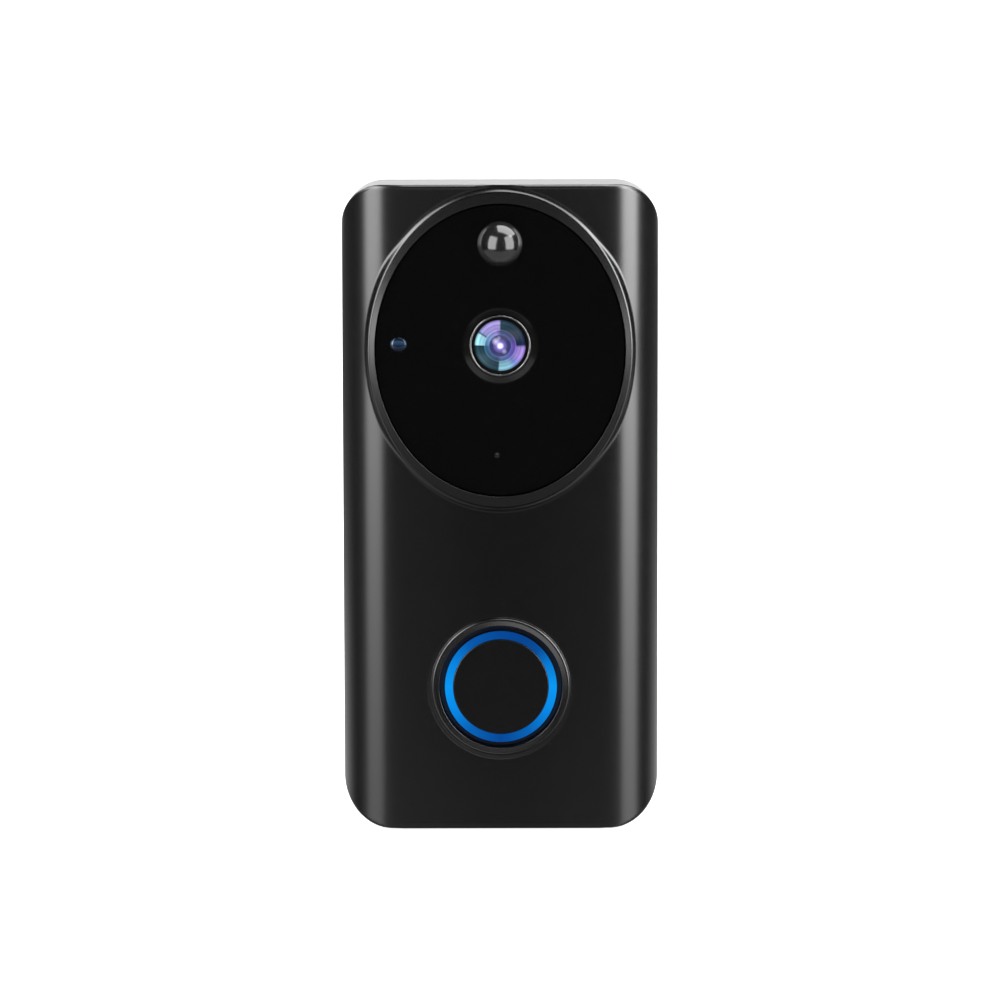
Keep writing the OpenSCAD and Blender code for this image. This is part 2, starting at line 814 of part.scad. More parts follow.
module button_cap() {
  color(black) turned_y([[0, cap_y], [cap_r - 0.3, cap_y], [cap_r, cap_y + 0.3], [cap_r, flange_back],
    [cap_r - 1.2, flange_back], [cap_r - 1.2, cap_y + 1.7], [2, cap_y + 1.7], [2, stem_y], [0, stem_y]],
    0, button_z);
}

module button_light_ring() {
  inner = cap_r + 0.05;
  flange_r = 13.2;
  color(blue) turned_y([[inner, cap_y], [light_r - 0.3, cap_y], [light_r, cap_y + 0.3],
    [light_r, flange_front], [flange_r, flange_front], [flange_r, flange_back], [inner, flange_back]],
    0, button_z);
}

module switch_plunger() {
  color(white) rod_y(1, stem_y + 0.02, stem_y + 1, 0, button_z);
}

module button_seal() {
  color(rubber) turned_y([[12.2, flange_back + 0.02], [13, flange_back + 0.02],
    [13, button_board_y - 0.02], [12.2, button_board_y - 0.02]], 0, button_z);
}

button_screw_at = [for (s = [-1, 1], t = [-1, 1]) [s * 16.5, button_z + t * 13]];
module button_board() {
  color(board_black) difference() {
    along_y(button_board_y, button_board_y + 1) round_box(38, button_z - 15, button_z + 15, 2);
    for (p = button_screw_at) rod_y(1.1, -28, -24, p[0], p[1]);
  }
}

module button_leds() {
  spread = 10.9;
  color(white) for (a = [22.5 : 45 : 337.5]) translate([0, 0, button_z]) rotate([0, a, 0])
    block([spread - 0.4, button_board_y - 0.5, -0.8], [spread + 0.4, button_board_y, 0.8]);
}

module tact_switch() {
  color(grey) difference() {
    block([-3, button_board_y - 0.9, button_z - 3], [3, button_board_y, button_z + 3]);
    rod_y(1.08, -30, button_board_y - 0.05, 0, button_z);
  }
}

module button_ribbon() {
  x0 = 6;
  x1 = 12;
  low_y = -25;
  high_y = -22.1;
  top_z = 17.9;
  color(film_tint) {
    block([x0, low_y, button_z + 12], [x1, low_y + film, top_z]);
    block([x0, low_y, top_z - film], [x1, high_y, top_z]);
    block([x0, high_y - film, top_z - film], [x1, high_y, top_z + 3]);
  }
}

// ---- battery -------------------------------------------------------------

tray_w = 40.4;
tray_low = -58;
tray_top = 17.2;
tray_front = -24.7;
tray_wall = 1.2;
cells_bay_low = tray_low + tray_wall;
cells_bay_top = tray_top - tray_wall;

module battery_tray() {
  color(grey) difference() {
    union() {
      along_y(tray_front, back_y - 0.1) round_box(tray_w, tray_low, tray_top, 2.5);
      for (s = [-1, 1], z = [-55, -3]) rod_y(1.7, inner_front_y + 0.05, tray_front + join, s * 17.5, z);
      for (p = button_screw_at) rod_y(1.8, button_board_y + 1, tray_front + join, p[0], p[1]);
    }
    along_y(tray_front + tray_wall, 0) round_box(tray_w - 2 * tray_wall, cells_bay_low, cells_bay_top, 1.3);
    for (p = button_screw_at) rod_y(0.85, -30, -20, p[0], p[1]);
  }
}

module cell(x) {
  nub_r = 2.8;
  translate([x, -cell_y, cell_z]) {
    cylinder(r = cell_r, h = cell_h - 1.2);
    cylinder(r = nub_r, h = cell_h);
  }
}

module battery_left() {
  color(wrap_tint) cell(-cell_x);
}

module battery_right() {
  color(wrap_tint) cell(cell_x);
}

module battery_springs() {
  leaf = 0.3;
  low = cells_bay_low + 0.02;
  high = cell_z - 0.02;
  width = 6;
  color(steel) for (s = [-1, 1])
    translate([s * cell_x - width / 2, 0, 0]) rotate([90, 0, 90]) linear_extrude(width)
      polygon([[-8, low], [-20, low], [-20, low + leaf], [-9, low + leaf], [-11, high - leaf],
        [-18, high - leaf], [-18, high], [-10.7, high], [-8, low + leaf]]);
}

module battery_contacts() {
  half = 5;
  plate_z = cells_bay_top - 0.5;
  color(steel) for (s = [-1, 1]) {
    block([s * cell_x - half, -cell_y - half, plate_z],
      [s * cell_x + half, -cell_y + half, cells_bay_top - 0.02]);
    translate([s * cell_x, -cell_y, cell_z + cell_h + 0.02]) cylinder(r = 2, h = plate_z - cell_z - cell_h);
  }
}

module battery_door() {
  color(black) {
    along_y(door_y, recess_y - 0.1) round_box(door_w, door_low, door_top, door_r);
    along_y(back_y - 0.1, door_y + eps)
      round_box(door_w - 2 * door_land - 0.4, door_low + door_land + 0.2, door_top - door_land - 0.2, 2);
  }
}

module battery_door_seal() {
  color(rubber) along_y(door_seat_y, door_y) difference() {
    round_box(door_w - 0.2, door_low + 0.1, door_top - 0.1, door_r);
    round_box(door_w - 2 * door_land, door_low + door_land, door_top - door_land, door_r);
  }
}

// ---- charging port -------------------------------------------------------

charge_board_y = -6.1;
module charge_board() {
  color(board_green) block([-24.2, charge_board_y, -64.9], [-7.3, charge_board_y + 1.2, -58.4]);
}

module usb_socket() {
  color(steel) translate([usb_x, -usb_y, 0]) difference() {
    translate([0, 0, -65.3]) linear_extrude(6.9) stadium(9, 3.2);
    translate([0, 0, -65.4]) linear_extrude(5.6) difference() {
      stadium(8.4, 2.6);
      square([6.6, 0.7], center = true);
    }
  }
}

module reset_switch() {
  color(grey) block([reset_x - 2, charge_board_y - 3.2, -63.6], [reset_x + 2, charge_board_y, -60.4]);
}

module reset_button() {
  color(white) translate([reset_x, -usb_y, 0]) {
    translate([0, 0, -66.2]) cylinder(r = 0.9, h = 2.1);
    translate([0, 0, -65.4]) cylinder(r = 1.5, h = 0.6);
  }
}

module usb_cover() {
  face_z = -half_h + 0.05;
  plug_z = -66;
  color(rubber) {
    block([cover_x0, cover_front, face_z], [cover_x1, cover_pin_y, -66.4]);
    translate([cover_x0 - 0.8, cover_pin_y, cover_pin_z]) rotate([0, 90, 0])
      cylinder(r = cover_pin_r, h = cover_x1 - cover_x0 + 1.6);
    translate([usb_x, -usb_y, -66.5]) linear_extrude(plug_z + 66.5) stadium(8.6, 2.2);
  }
}

module board_screw(x, z, head_y0, head_y1, tip_y0, tip_y1) {
  rod_y(1.7, head_y0, head_y1, x, z);
  rod_y(0.8, tip_y0, tip_y1, x, z);
}

module board_screws() {
  color(steel) {
    for (p = main_screw_at) board_screw(p[0], p[1], main_board_y - 1, main_board_y, main_board_y - 0.5, -5.8);
    for (p = head_screw_at) board_screw(p[0], p[1], head_board_y + board_t, head_board_y + board_t + 1,
      head_board_y - 2.6, head_board_y + board_t + 0.5);
    for (p = button_screw_at)
      board_screw(p[0], p[1], button_board_y - 0.9, button_board_y, button_board_y - 0.5, -23.9);
    for (s = [-1, 1]) {
      rod_y(1.3, camera_back_y, camera_back_y + 0.8, s * camera_screw, lens_z + s * camera_screw);
      rod_y(0.6, -16, camera_back_y + 0.4, s * camera_screw, lens_z + s * camera_screw);
    }
  }
}

wall_bracket();
security_screw();
front_shell();
rear_shell();
shell_seal();
case_screws();
head_ring();
front_panel();
panel_adhesive();
lens_trim_ring();
front_lens();
inner_lens();
lens_barrel();
lens_holder();
ir_cut_filter();
image_sensor();
camera_board();
camera_flex();
pir_dome();
pir_sensor();
sensor_window();
light_sensor();
head_board();
ir_leds();
microphone();
mic_boot();
main_board();
main_chips();
shield_can();
main_connectors();
wifi_antenna();
antenna_cable();
speaker_frame();
speaker_cone();
speaker_magnet();
speaker_gasket();
speaker_mesh();
screw_insert();
button_cap();
button_light_ring();
switch_plunger();
button_seal();
button_board();
button_leds();
tact_switch();
button_ribbon();
battery_tray();
battery_left();
battery_right();
battery_springs();
battery_contacts();
mic_board();
battery_door();
battery_door_seal();
charge_board();
usb_socket();
reset_switch();
reset_button();
usb_cover();
board_screws();
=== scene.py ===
import json
import math

import bpy
import numpy as np
from mathutils import Matrix, Vector


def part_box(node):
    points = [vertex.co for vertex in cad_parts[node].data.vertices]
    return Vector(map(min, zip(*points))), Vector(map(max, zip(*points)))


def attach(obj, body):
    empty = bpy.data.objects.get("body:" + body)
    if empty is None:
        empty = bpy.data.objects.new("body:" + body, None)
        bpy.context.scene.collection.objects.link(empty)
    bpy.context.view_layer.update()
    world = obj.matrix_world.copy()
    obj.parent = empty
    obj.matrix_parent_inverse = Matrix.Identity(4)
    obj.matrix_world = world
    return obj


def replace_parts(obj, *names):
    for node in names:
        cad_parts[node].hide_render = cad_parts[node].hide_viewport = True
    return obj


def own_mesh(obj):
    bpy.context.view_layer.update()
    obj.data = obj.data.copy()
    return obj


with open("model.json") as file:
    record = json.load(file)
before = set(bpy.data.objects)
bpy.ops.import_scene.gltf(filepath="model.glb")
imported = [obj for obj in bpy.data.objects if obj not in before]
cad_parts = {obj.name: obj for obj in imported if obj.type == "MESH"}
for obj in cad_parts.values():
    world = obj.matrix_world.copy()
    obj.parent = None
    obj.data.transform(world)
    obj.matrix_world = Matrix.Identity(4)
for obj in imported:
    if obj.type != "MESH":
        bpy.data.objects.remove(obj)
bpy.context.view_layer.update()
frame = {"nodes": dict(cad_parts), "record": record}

MM = 0.001

# ---- sizes in millimetres ------------------------------------------------


def span(node):
    """Lowest and highest corner of a CAD node, in millimetres."""
    low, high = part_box(node)
    return np.array(low) / MM, np.array(high) / MM


shell_low, shell_high = span("front_shell")
ring_low, ring_high = span("head_ring")
panel_low, panel_high = span("front_panel")
dome_low, dome_high = span("pir_dome")
cap_low, cap_high = span("button_cap")
light_low, light_high = span("button_light_ring")
seal_low, seal_high = span("button_seal")
trim_low, trim_high = span("lens_trim_ring")
lens_low, lens_high = span("front_lens")

HALF_W = shell_high[0]
HALF_H = shell_high[2]
PARTING_Y = -12.0
RIM_Y = shell_low[1]
GLASS_PROUD = 0.4
FRONT_Y = panel_low[1] + GLASS_PROUD
WALL = 2.2
SLOT_LONG = 8.0
SLOT_WIDE = 1.2
SLOT_Y = -20.0
SLOT_PITCH = 3.0
EDGE_R = 13.5
TOP_R = 8.7
BOTTOM_R = 10.1
SOFT_EDGE = 0.7

HEAD_Z = (panel_low[2] + panel_high[2]) / 2
GLASS_A = panel_high[0]
GLASS_B = panel_high[2] - HEAD_Z
GLASS_Y = panel_low[1]
FLANGE_Y = GLASS_Y + 1.82
LEDGE_Y = ring_high[1]
POCKET_A = ring_high[0] + 0.05
POCKET_B = ring_high[2] - HEAD_Z + 0.05
RIM_A = POCKET_A + 0.6
RIM_B = POCKET_B + 0.65
RIM_DROP = 0.46
RIM_CREST = 1.0
RIM_FILLET = 1.5
RIM_TILT = 20.0
RIM_BACK_Y = -25.8
WINDOW_IN = 1.5

LENS_Z = (lens_low[2] + lens_high[2]) / 2
LENS_R = lens_high[0]
LENS_RISE = 0.9
TRIM_IN = 6.0
TRIM_OUT = 6.3
TRIM_FLANGE = trim_high[0]
PIR_Z = (dome_low[2] + dome_high[2]) / 2
PIR_R = 4.7
PIR_FLANGE = dome_high[0]
BUTTON_Z = (cap_low[2] + cap_high[2]) / 2
CAP_R = cap_high[0]
CAP_Y = cap_low[1]
CAP_WALL = 1.2
STEM_R = 2.0
LIGHT_R = 11.7
LIGHT_FLANGE = light_high[0]
LIGHT_STEP_Y = -28.65
SEAL_IN = 12.2
SEAL_OUT = 13.0
OPENING_R = 12.65
CREST_Y = FRONT_Y - 1.1
BEZEL_R = 14.6

# ---- mesh helpers --------------------------------------------------------


def mesh_object(name, points, faces):
    """A mesh object from points in metres, in the scene."""
    mesh = bpy.data.meshes.new(name)
    mesh.from_pydata(np.asarray(points).tolist(), [], faces)
    mesh.update()
    obj = bpy.data.objects.new(name, mesh)
    bpy.context.scene.collection.objects.link(obj)
    return obj


def make_object(name, points, faces, normals, material):
    """A smooth piece from points in millimetres, with one normal for each point if there are any."""
    obj = mesh_object(name, points * MM, faces.tolist())
    obj.data.shade_smooth()
    if normals is not None:
        obj.data.normals_split_custom_set_from_vertices(normals.tolist())
    obj.data.materials.append(material)
    return obj


def unit(vectors):
    length = np.linalg.norm(vectors, axis=-1, keepdims=True)
    return vectors / np.maximum(length, 1e-12)


def grid_object(name, points, normals, material):
    """A mesh from closed rings of points: points and normals are (rings, count, 3)."""
    rings, count = points.shape[:2]
    across = np.arange(count)
    after = (across + 1) % count
    faces = []
    for i in range(rings - 1):
        if np.abs(points[i] - points[i + 1]).max() < 1e-9:
            continue
        faces.append(np.stack([i * count + across, i * count + after,
                               (i + 1) * count + after, (i + 1) * count + across], 1))
    return make_object(name, points.reshape(-1, 3), np.concatenate(faces),
                       normals.reshape(-1, 3), material)


def rounded_path(corners, radii, steps=6):
    """Points and directions along a path with rounded corners. Radius 0 keeps a corner sharp."""
    corners = np.asarray(corners, float)
    legs = unit(np.diff(corners, axis=0))
    points = [corners[0]]
    heading = [legs[0]]
    for i in range(1, len(corners) - 1):
        radius = radii[i]
        if radius == 0:
            points += [corners[i], corners[i]]
            heading += [legs[i - 1], legs[i]]
            continue
        start = corners[i] - legs[i - 1] * radius
        end = corners[i] + legs[i] * radius
        for t in np.linspace(0, 1, steps + 1):
            points.append((1 - t) ** 2 * start + 2 * t * (1 - t) * corners[i] + t * t * end)
            heading.append((1 - t) * legs[i - 1] + t * legs[i])
    points.append(corners[-1])
    heading.append(legs[-1])
    return np.array(points), unit(np.array(heading))


def oval_object(name, path, centre, material, count=256):
    """A turned or oval piece from a path of (half width, half height, y), from outside over the front."""
    points, heading = path
    turn = np.linspace(0, 2 * np.pi, count, endpoint=False)
    cos, sin = np.cos(turn), np.sin(turn)
    a, b, y = [points[:, [k]] for k in range(3)]
    da, db, dy = [heading[:, [k]] for k in range(3)]
    place = np.stack([centre[0] + a * cos, y + 0 * cos, centre[1] + b * sin], -1)
    around = unit(np.stack([-(a + 1e-6) * sin, 0 * a * cos, (b + 1e-6) * cos], -1))
    along = np.stack([da * cos, dy + 0 * cos, db * sin], -1)
    return grid_object(name, place, unit(np.cross(around, along)), material)


def turned_object(name, corners, radii, centre, material, count=256, steps=6):
    """A turned piece about the front axis, from corners (radius, y)."""
    corners = np.asarray(corners, float)
    path = rounded_path(corners[:, [0, 0, 1]], radii, steps)
    return oval_object(name, path, centre, material, count)


def arc(radius, centre_y, start, end, steps):
    """Points (r, y) of a ball's outline about the axis, angles in degrees from the front."""
    angle = np.radians(np.linspace(start, end, steps))
    return np.stack([radius * np.sin(angle), centre_y - radius * np.cos(angle)], 1)


# ---- case shape ----------------------------------------------------------


def plan_distance(x, y):
    """Distance to the case's outline seen from above."""
    qx = np.abs(x) - (HALF_W - EDGE_R)
    qy = (FRONT_Y + EDGE_R) - y
    return np.hypot(np.maximum(qx, 0), np.maximum(qy, 0)) + np.minimum(np.maximum(qx, qy), 0) - EDGE_R


def outline_distance(x, z):
    """Distance to the case's outline seen from the front."""
    r = np.where(z > 0, TOP_R, BOTTOM_R)
    qx = np.abs(x) - (HALF_W - r)
    qz = np.abs(z) - (HALF_H - r)
    return np.hypot(np.maximum(qx, 0), np.maximum(qz, 0)) + np.minimum(np.maximum(qx, qz), 0) - r


def sideways(distance, x, other):
    """The share of a distance's direction that points sideways."""
    h = 0.01
    gx = distance(x + h, other) - distance(x - h, other)
    go = distance(x, other + h) - distance(x, other - h)
    return gx / np.maximum(np.hypot(gx, go), 1e-9)


def case_distance(p):
    """Distance to the case's outside: plan and outline meet in a soft edge where they cross steeply."""
    x, y, z = p[..., 0], p[..., 1], p[..., 2]
    a, b = plan_distance(x, y), outline_distance(x, z)
    shared = sideways(plan_distance, x, y) * sideways(outline_distance, x, z)
    r = SOFT_EDGE * (1 - shared ** 2) + 1e-4
    return np.minimum(-r, np.maximum(a, b)) + np.hypot(np.maximum(r + a, 0), np.maximum(r + b, 0))


def shell_distance(p):
    """Distance to the wall of the hollow case."""
    return np.abs(case_distance(p) + WALL / 2) - WALL / 2


def gradient(distance, p, h=0.02):
    parts = []
    for k in range(3):
        step = np.zeros(3)
        step[k] = h
        parts.append(distance(p + step) - distance(p - step))
    return np.stack(parts, -1) / (2 * h)


def surface_net(field):
    """Cells that the zero surface passes through, and the quads between them."""
    inside = field < 0
    n = np.array(field.shape)
    count = np.zeros(n - 1, np.int8)
    for i in (0, 1):
        for j in (0, 1):
            for k in (0, 1):
                count += inside[i:n[0] - 1 + i, j:n[1] - 1 + j, k:n[2] - 1 + k]
    active = (count > 0) & (count < 8)
    index = np.full(active.shape, -1, np.int64)
    index[active] = np.arange(active.sum())
    quads = []
    for axis in range(3):
        first = np.take(inside, range(n[axis] - 1), axis)
        second = np.take(inside, range(1, n[axis]), axis)
        u, v = (axis + 1) % 3, (axis + 2) % 3
        at = np.argwhere(first != second)
        at = at[(at[:, u] > 0) & (at[:, v] > 0) & (at[:, u] < n[u] - 1) & (at[:, v] < n[v] - 1)]
        ring = []
        for du, dv in ((-1, -1), (0, -1), (0, 0), (-1, 0)):
            cell = at.copy()
            cell[:, u] += du
            cell[:, v] += dv
            ring.append(index[cell[:, 0], cell[:, 1], cell[:, 2]])
        ring = np.stack(ring, 1)
        outward = first[at[:, 0], at[:, 1], at[:, 2]]
        ring[~outward] = ring[~outward][:, ::-1]
        quads.append(ring)
    return np.argwhere(active), np.concatenate(quads)


def front_skin(material):
    """The front shell's wall, rounded as one surface, before its openings are cut."""
    cell = 0.5
    low = np.array([-HALF_W - 1.5 * cell, 0, -HALF_H - 1.5 * cell])
    low[1] = PARTING_Y - cell * (math.ceil((PARTING_Y - FRONT_Y) / cell) + 1.5)
    n = np.ceil([(2 * HALF_W + 3 * cell) / cell + 1, (PARTING_Y + cell / 2 - low[1]) / cell + 1,
                 (2 * HALF_H + 3 * cell) / cell + 1]).astype(int)
    axes = [low[k] + cell * np.arange(n[k]) for k in range(3)]
    grid = np.stack(np.meshgrid(*axes, indexing="ij"), -1)
    field = np.maximum(shell_distance(grid), grid[..., 1] - PARTING_Y)
    cells, quads = surface_net(field)
    points = low + (cells + 0.5) * cell
    back = np.abs(points[:, 1] - PARTING_Y) < cell / 4
    edge = back & (np.abs(shell_distance(points)) < 0.8 * cell)
    edges = np.concatenate([quads[:, [0, 1]], quads[:, [1, 2]], quads[:, [2, 3]], quads[:, [3, 0]]])
    loose = ~back
    for turn in range(8):
        if turn:
            total = np.zeros_like(points)
            share = np.bincount(edges[:, 0], minlength=len(points))
            share = share + np.bincount(edges[:, 1], minlength=len(points))
            for k in range(3):
                total[:, k] = np.bincount(edges[:, 0], points[edges[:, 1], k], len(points))
                total[:, k] += np.bincount(edges[:, 1], points[edges[:, 0], k], len(points))
            even = total / np.maximum(share, 1)[:, None]
            points[loose] += 0.5 * (even[loose] - points[loose])
        for _ in range(2):
            moving = loose | edge
            slope = gradient(shell_distance, points[moving])
            slope[edge[moving], 1] = 0
            off = shell_distance(points[moving])
            points[moving] -= slope * (off / np.maximum((slope ** 2).sum(-1), 0.2))[:, None]
        points[back, 1] = PARTING_Y
    return make_object("front_shell_skin", points, quads, None, material)


def prism(outline, across, start, end):
    """Points and faces of a prism along axis across, from an outline in the two other axes."""
    n = len(outline)
    points = np.zeros((2 * n, 3))
    other = [k for k in range(3) if k != across]
    points[:, other] = np.concatenate([outline, outline])
    points[:n, across] = start
    points[n:, across] = end
    faces = [list(range(n))[::-1], [n + k for k in range(n)]]
    for k in range(n):
        faces.append([k, (k + 1) % n, n + (k + 1) % n, n + k])
    return points, faces


def cutter(name, parts):
    """One object of several closed prisms, used to cut openings."""
    points, faces, at = [], [], 0
    for part_points, part_faces in parts:
        points.append(part_points)
        faces += [[at + k for k in face] for face in part_faces]
        at += len(part_points)
    obj = mesh_object(name, np.concatenate(points) * MM, faces)
    bpy.context.view_layer.objects.active = obj
    bpy.ops.object.select_all(action="DESELECT")
    obj.select_set(True)
    bpy.ops.object.mode_set(mode="EDIT")
    bpy.ops.mesh.select_all(action="SELECT")
    bpy.ops.mesh.normals_make_consistent(inside=False)
    bpy.ops.object.mode_set(mode="OBJECT")
    return obj


def oval_outline(a, b, centre_z, count=360):
    turn = np.linspace(0, 2 * np.pi, count, endpoint=False)
    return np.stack([a * np.cos(turn), centre_z + b * np.sin(turn)], 1)


def slot_outline(centre, length, width, count=24):
    """A slot with round ends, long along y, in x and y."""
    half = (length - width) / 2
    turn = np.linspace(0, np.pi, count)
    top = np.stack([centre[0] + width / 2 * np.cos(turn), centre[1] + half + width / 2 * np.sin(turn)], 1)
    low = np.stack([centre[0] - width / 2 * np.cos(turn), centre[1] - half - width / 2 * np.sin(turn)], 1)
    return np.concatenate([top, low])


def cut(obj, tool):
    """Cuts the tool out of an object and deletes the tool."""
    modifier = obj.modifiers.new("cut", "BOOLEAN")
    modifier.operation = "DIFFERENCE"
    modifier.object = tool
    modifier.solver = "MANIFOLD"
    graph = bpy.context.evaluated_depsgraph_get()
    made = bpy.data.meshes.new_from_object(obj.evaluated_get(graph))
    obj.modifiers.clear()
    obj.data = made
    bpy.data.objects.remove(tool)


def case_normals(obj):
    """Gives every face corner on the rounded wall the wall's own direction."""
    mesh = obj.data
    corner_at = np.zeros(len(mesh.loops), np.int64)
    mesh.loops.foreach_get("vertex_index", corner_at)
    place = np.zeros(len(mesh.vertices) * 3)
    mesh.vertices.foreach_get("co", place)
    place = place.reshape(-1, 3) / MM
    sizes = np.zeros(len(mesh.polygons), np.int64)
    mesh.polygons.foreach_get("loop_total", sizes)
    flat = np.zeros(len(mesh.polygons) * 3)
    mesh.polygons.foreach_get("normal", flat)
    face_normal = np.repeat(flat.reshape(-1, 3), sizes, 0)
    smooth = unit(gradient(shell_distance, place))[corner_at]
    close = (smooth * face_normal).sum(-1) > 0.8
    mesh.shade_smooth()
    mesh.normals_split_custom_set(np.where(close[:, None], smooth, face_normal).tolist())


def build_front_shell(material):
    """The front shell as its skin, the oval rim and the bezel about the button."""
    skin = front_skin(material)
    slots = [prism(slot_outline((i * SLOT_PITCH, SLOT_Y), SLOT_LONG, SLOT_WIDE), 2,
                   -HALF_H - 1, -HALF_H + WALL + 2) for i in range(-4, 5)]
    inside = 0.6
    start, end = FRONT_Y - 3, RIM_BACK_Y + 4
    window = prism(oval_outline(RIM_A - inside, RIM_B - inside, HEAD_Z), 1, start, end)
    opening = prism(oval_outline(OPENING_R + inside, OPENING_R + inside, BUTTON_Z), 1, start, end)
    cut(skin, cutter("front_shell_cutter", slots + [window, opening]))
    case_normals(skin)
    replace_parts(skin, "front_shell")
    rim = build_rim(material)
    bezel = build_bezel(material)
    return [skin, rim, bezel]


def build_rim(material, count=720):
    """The raised oval rim: a rounded crest that falls outwards, and a fillet where it meets the case."""
    turn = np.linspace(0, 2 * np.pi, count, endpoint=False)
    cos, sin = np.cos(turn)[:, None], np.sin(turn)[:, None]
    outward = unit(np.hstack([RIM_B * cos, 0 * cos, RIM_A * sin]))
    front = np.array([0.0, -1.0, 0.0])

    def leaning(tilt):
        """Direction that leans outwards from the front by an angle."""
        tilt = np.reshape(tilt, (-1, 1))
        return outward * np.sin(tilt) + front * np.cos(tilt)

    start = math.radians(RIM_TILT)
    wall = np.hstack([RIM_A * cos, 0 * cos, HEAD_Z + RIM_B * sin])
    crest = wall - RIM_CREST * outward
    crest[:, 1] = RIM_Y + RIM_DROP + RIM_CREST * math.cos(start)
    reach = RIM_CREST + RIM_FILLET
    low, high = np.full(count, start), np.full(count, math.pi / 2)
    steep = case_distance(crest + reach * leaning(high)) > RIM_FILLET
    for _ in range(30):
        middle = (low + high) / 2
        above = case_distance(crest + reach * leaning(middle)) > RIM_FILLET
        low, high = np.where(above, middle, low), np.where(above, high, middle)
    tilt = np.where(steep, math.pi / 2, (low + high) / 2)
    foot = crest + reach * leaning(tilt)
    for _ in range(60):
        foot[:, 1] += np.where(steep, (case_distance(foot) - RIM_FILLET) * 0.8, 0)
    down = unit(gradient(case_distance, foot))
    lean = leaning(tilt)
    points, normals = [], []

    def add(place, normal):
        points.append(place)
        normals.append(np.broadcast_to(normal, place.shape))

    along = unit(outward - down * (outward * down).sum(-1, keepdims=True))
    add(foot - RIM_FILLET * down + 0.5 * along - 0.12 * down, down)
    for t in np.linspace(0, 1, 12):
        swing = unit((1 - t) * down + t * lean)
        add(foot - RIM_FILLET * swing, swing)
    for t in np.linspace(1, 0, 12):
        swing = leaning(start + t * (tilt - start))
        add(crest + RIM_CREST * swing, swing)
    pocket = np.hstack([POCKET_A * cos, 0 * cos + RIM_Y + RIM_DROP - 0.02, HEAD_Z + POCKET_B * sin])
    inward = -unit(np.hstack([POCKET_B * cos, 0 * cos, POCKET_A * sin]))
    add(pocket - 0.03 * inward, leaning(np.full(count, start)))
    edge = pocket.copy()
    edge[:, 1] += 0.05
    add(edge, inward)
    ledge = pocket.copy()
    ledge[:, 1] = LEDGE_Y
    add(ledge, inward)
    add(ledge, front)
    hole = np.hstack([(GLASS_A - WINDOW_IN) * cos, 0 * cos + LEDGE_Y, HEAD_Z + (GLASS_B - WINDOW_IN) * sin])
    add(hole, front)
    add(hole, inward)
    deep = hole.copy()
    deep[:, 1] = RIM_BACK_Y
    add(deep, inward)
    add(deep, -front)
    outer = wall - outward * 0.5
    outer[:, 1] = RIM_BACK_Y
    add(outer, -front)
    return grid_object("front_shell_rim", np.stack(points), np.stack(normals), material)


def build_bezel(material):
    """The round bezel about the button: a rounded crest with a shallow slope down to the opening."""
    skirt_y = FRONT_Y - 0.004
    back_y = FRONT_Y + WALL
    corners = [[BEZEL_R + 2.2, FRONT_Y + 0.3], [BEZEL_R + 0.9, skirt_y], [BEZEL_R - 0.02, skirt_y],
               [BEZEL_R - 0.14, CREST_Y], [OPENING_R + 0.25, CREST_Y + 0.3], [OPENING_R + 0.05, back_y],
               [OPENING_R + 1.5, back_y]]
    radii = [0, 0.3, 0.12, 0.95, 0.13, 0, 0]
    return turned_object("front_shell_bezel", corners, radii, (0, BUTTON_Z), material, 360, 12)


def build_head_ring(material):
    """Trim ring about the glass, highest at the glass and falling outwards."""
    in_a, in_b = GLASS_A + 0.08, GLASS_B + 0.08
    out_a, out_b = POCKET_A - 0.03, POCKET_B - 0.03
    low_y = RIM_Y + RIM_DROP
    corners = [[in_a, in_b, LEDGE_Y], [out_a, out_b, LEDGE_Y], [out_a, out_b, low_y],
               [in_a, in_b, RIM_Y], [in_a, in_b, LEDGE_Y]]
    path = rounded_path(corners, [0, 0, 0.04, 0.14, 0], 6)
    ring = oval_object("head_ring_body", path, (0, HEAD_Z), material, 720)
    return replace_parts(ring, "head_ring")


def build_dome(material):
    """The motion sensor's dome: part of a ball on a flange behind the glass."""
    rise = GLASS_Y - dome_low[1]
    ball = (PIR_R ** 2 + rise ** 2) / (2 * rise)
    edge = math.degrees(math.asin(PIR_R / ball))
    steps = 40
    path = [[PIR_FLANGE, dome_high[1]], [PIR_FLANGE, FLANGE_Y], [PIR_R, FLANGE_Y], [PIR_R, GLASS_Y]]
    path += arc(ball, dome_low[1] + ball, edge - 1, 0, steps).tolist()
    radii = [0, 0.1, 0, 0] + [0.02] * (steps - 1) + [0]
    dome = turned_object("pir_dome_lens", path, radii, (0, PIR_Z), material, 256, 2)
    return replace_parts(dome, "pir_dome")


def build_lens(material):
    """The camera's front lens with a shallow domed face."""
    ball = (LENS_R ** 2 + LENS_RISE ** 2) / (2 * LENS_RISE)
    top = lens_low[1]
    edge = math.degrees(math.asin(LENS_R / ball))
    steps = 24
    path = [[0.01, lens_high[1]], [LENS_R, lens_high[1]], [LENS_R, top + LENS_RISE]]
    path += arc(ball, top + ball, edge - 0.5, 0, steps).tolist()
    radii = [0, 0, 0] + [0.02] * (steps - 1) + [0]
    lens = turned_object("front_lens_glass", path, radii, (0, LENS_Z), material, 256, 2)
    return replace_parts(lens, "front_lens")


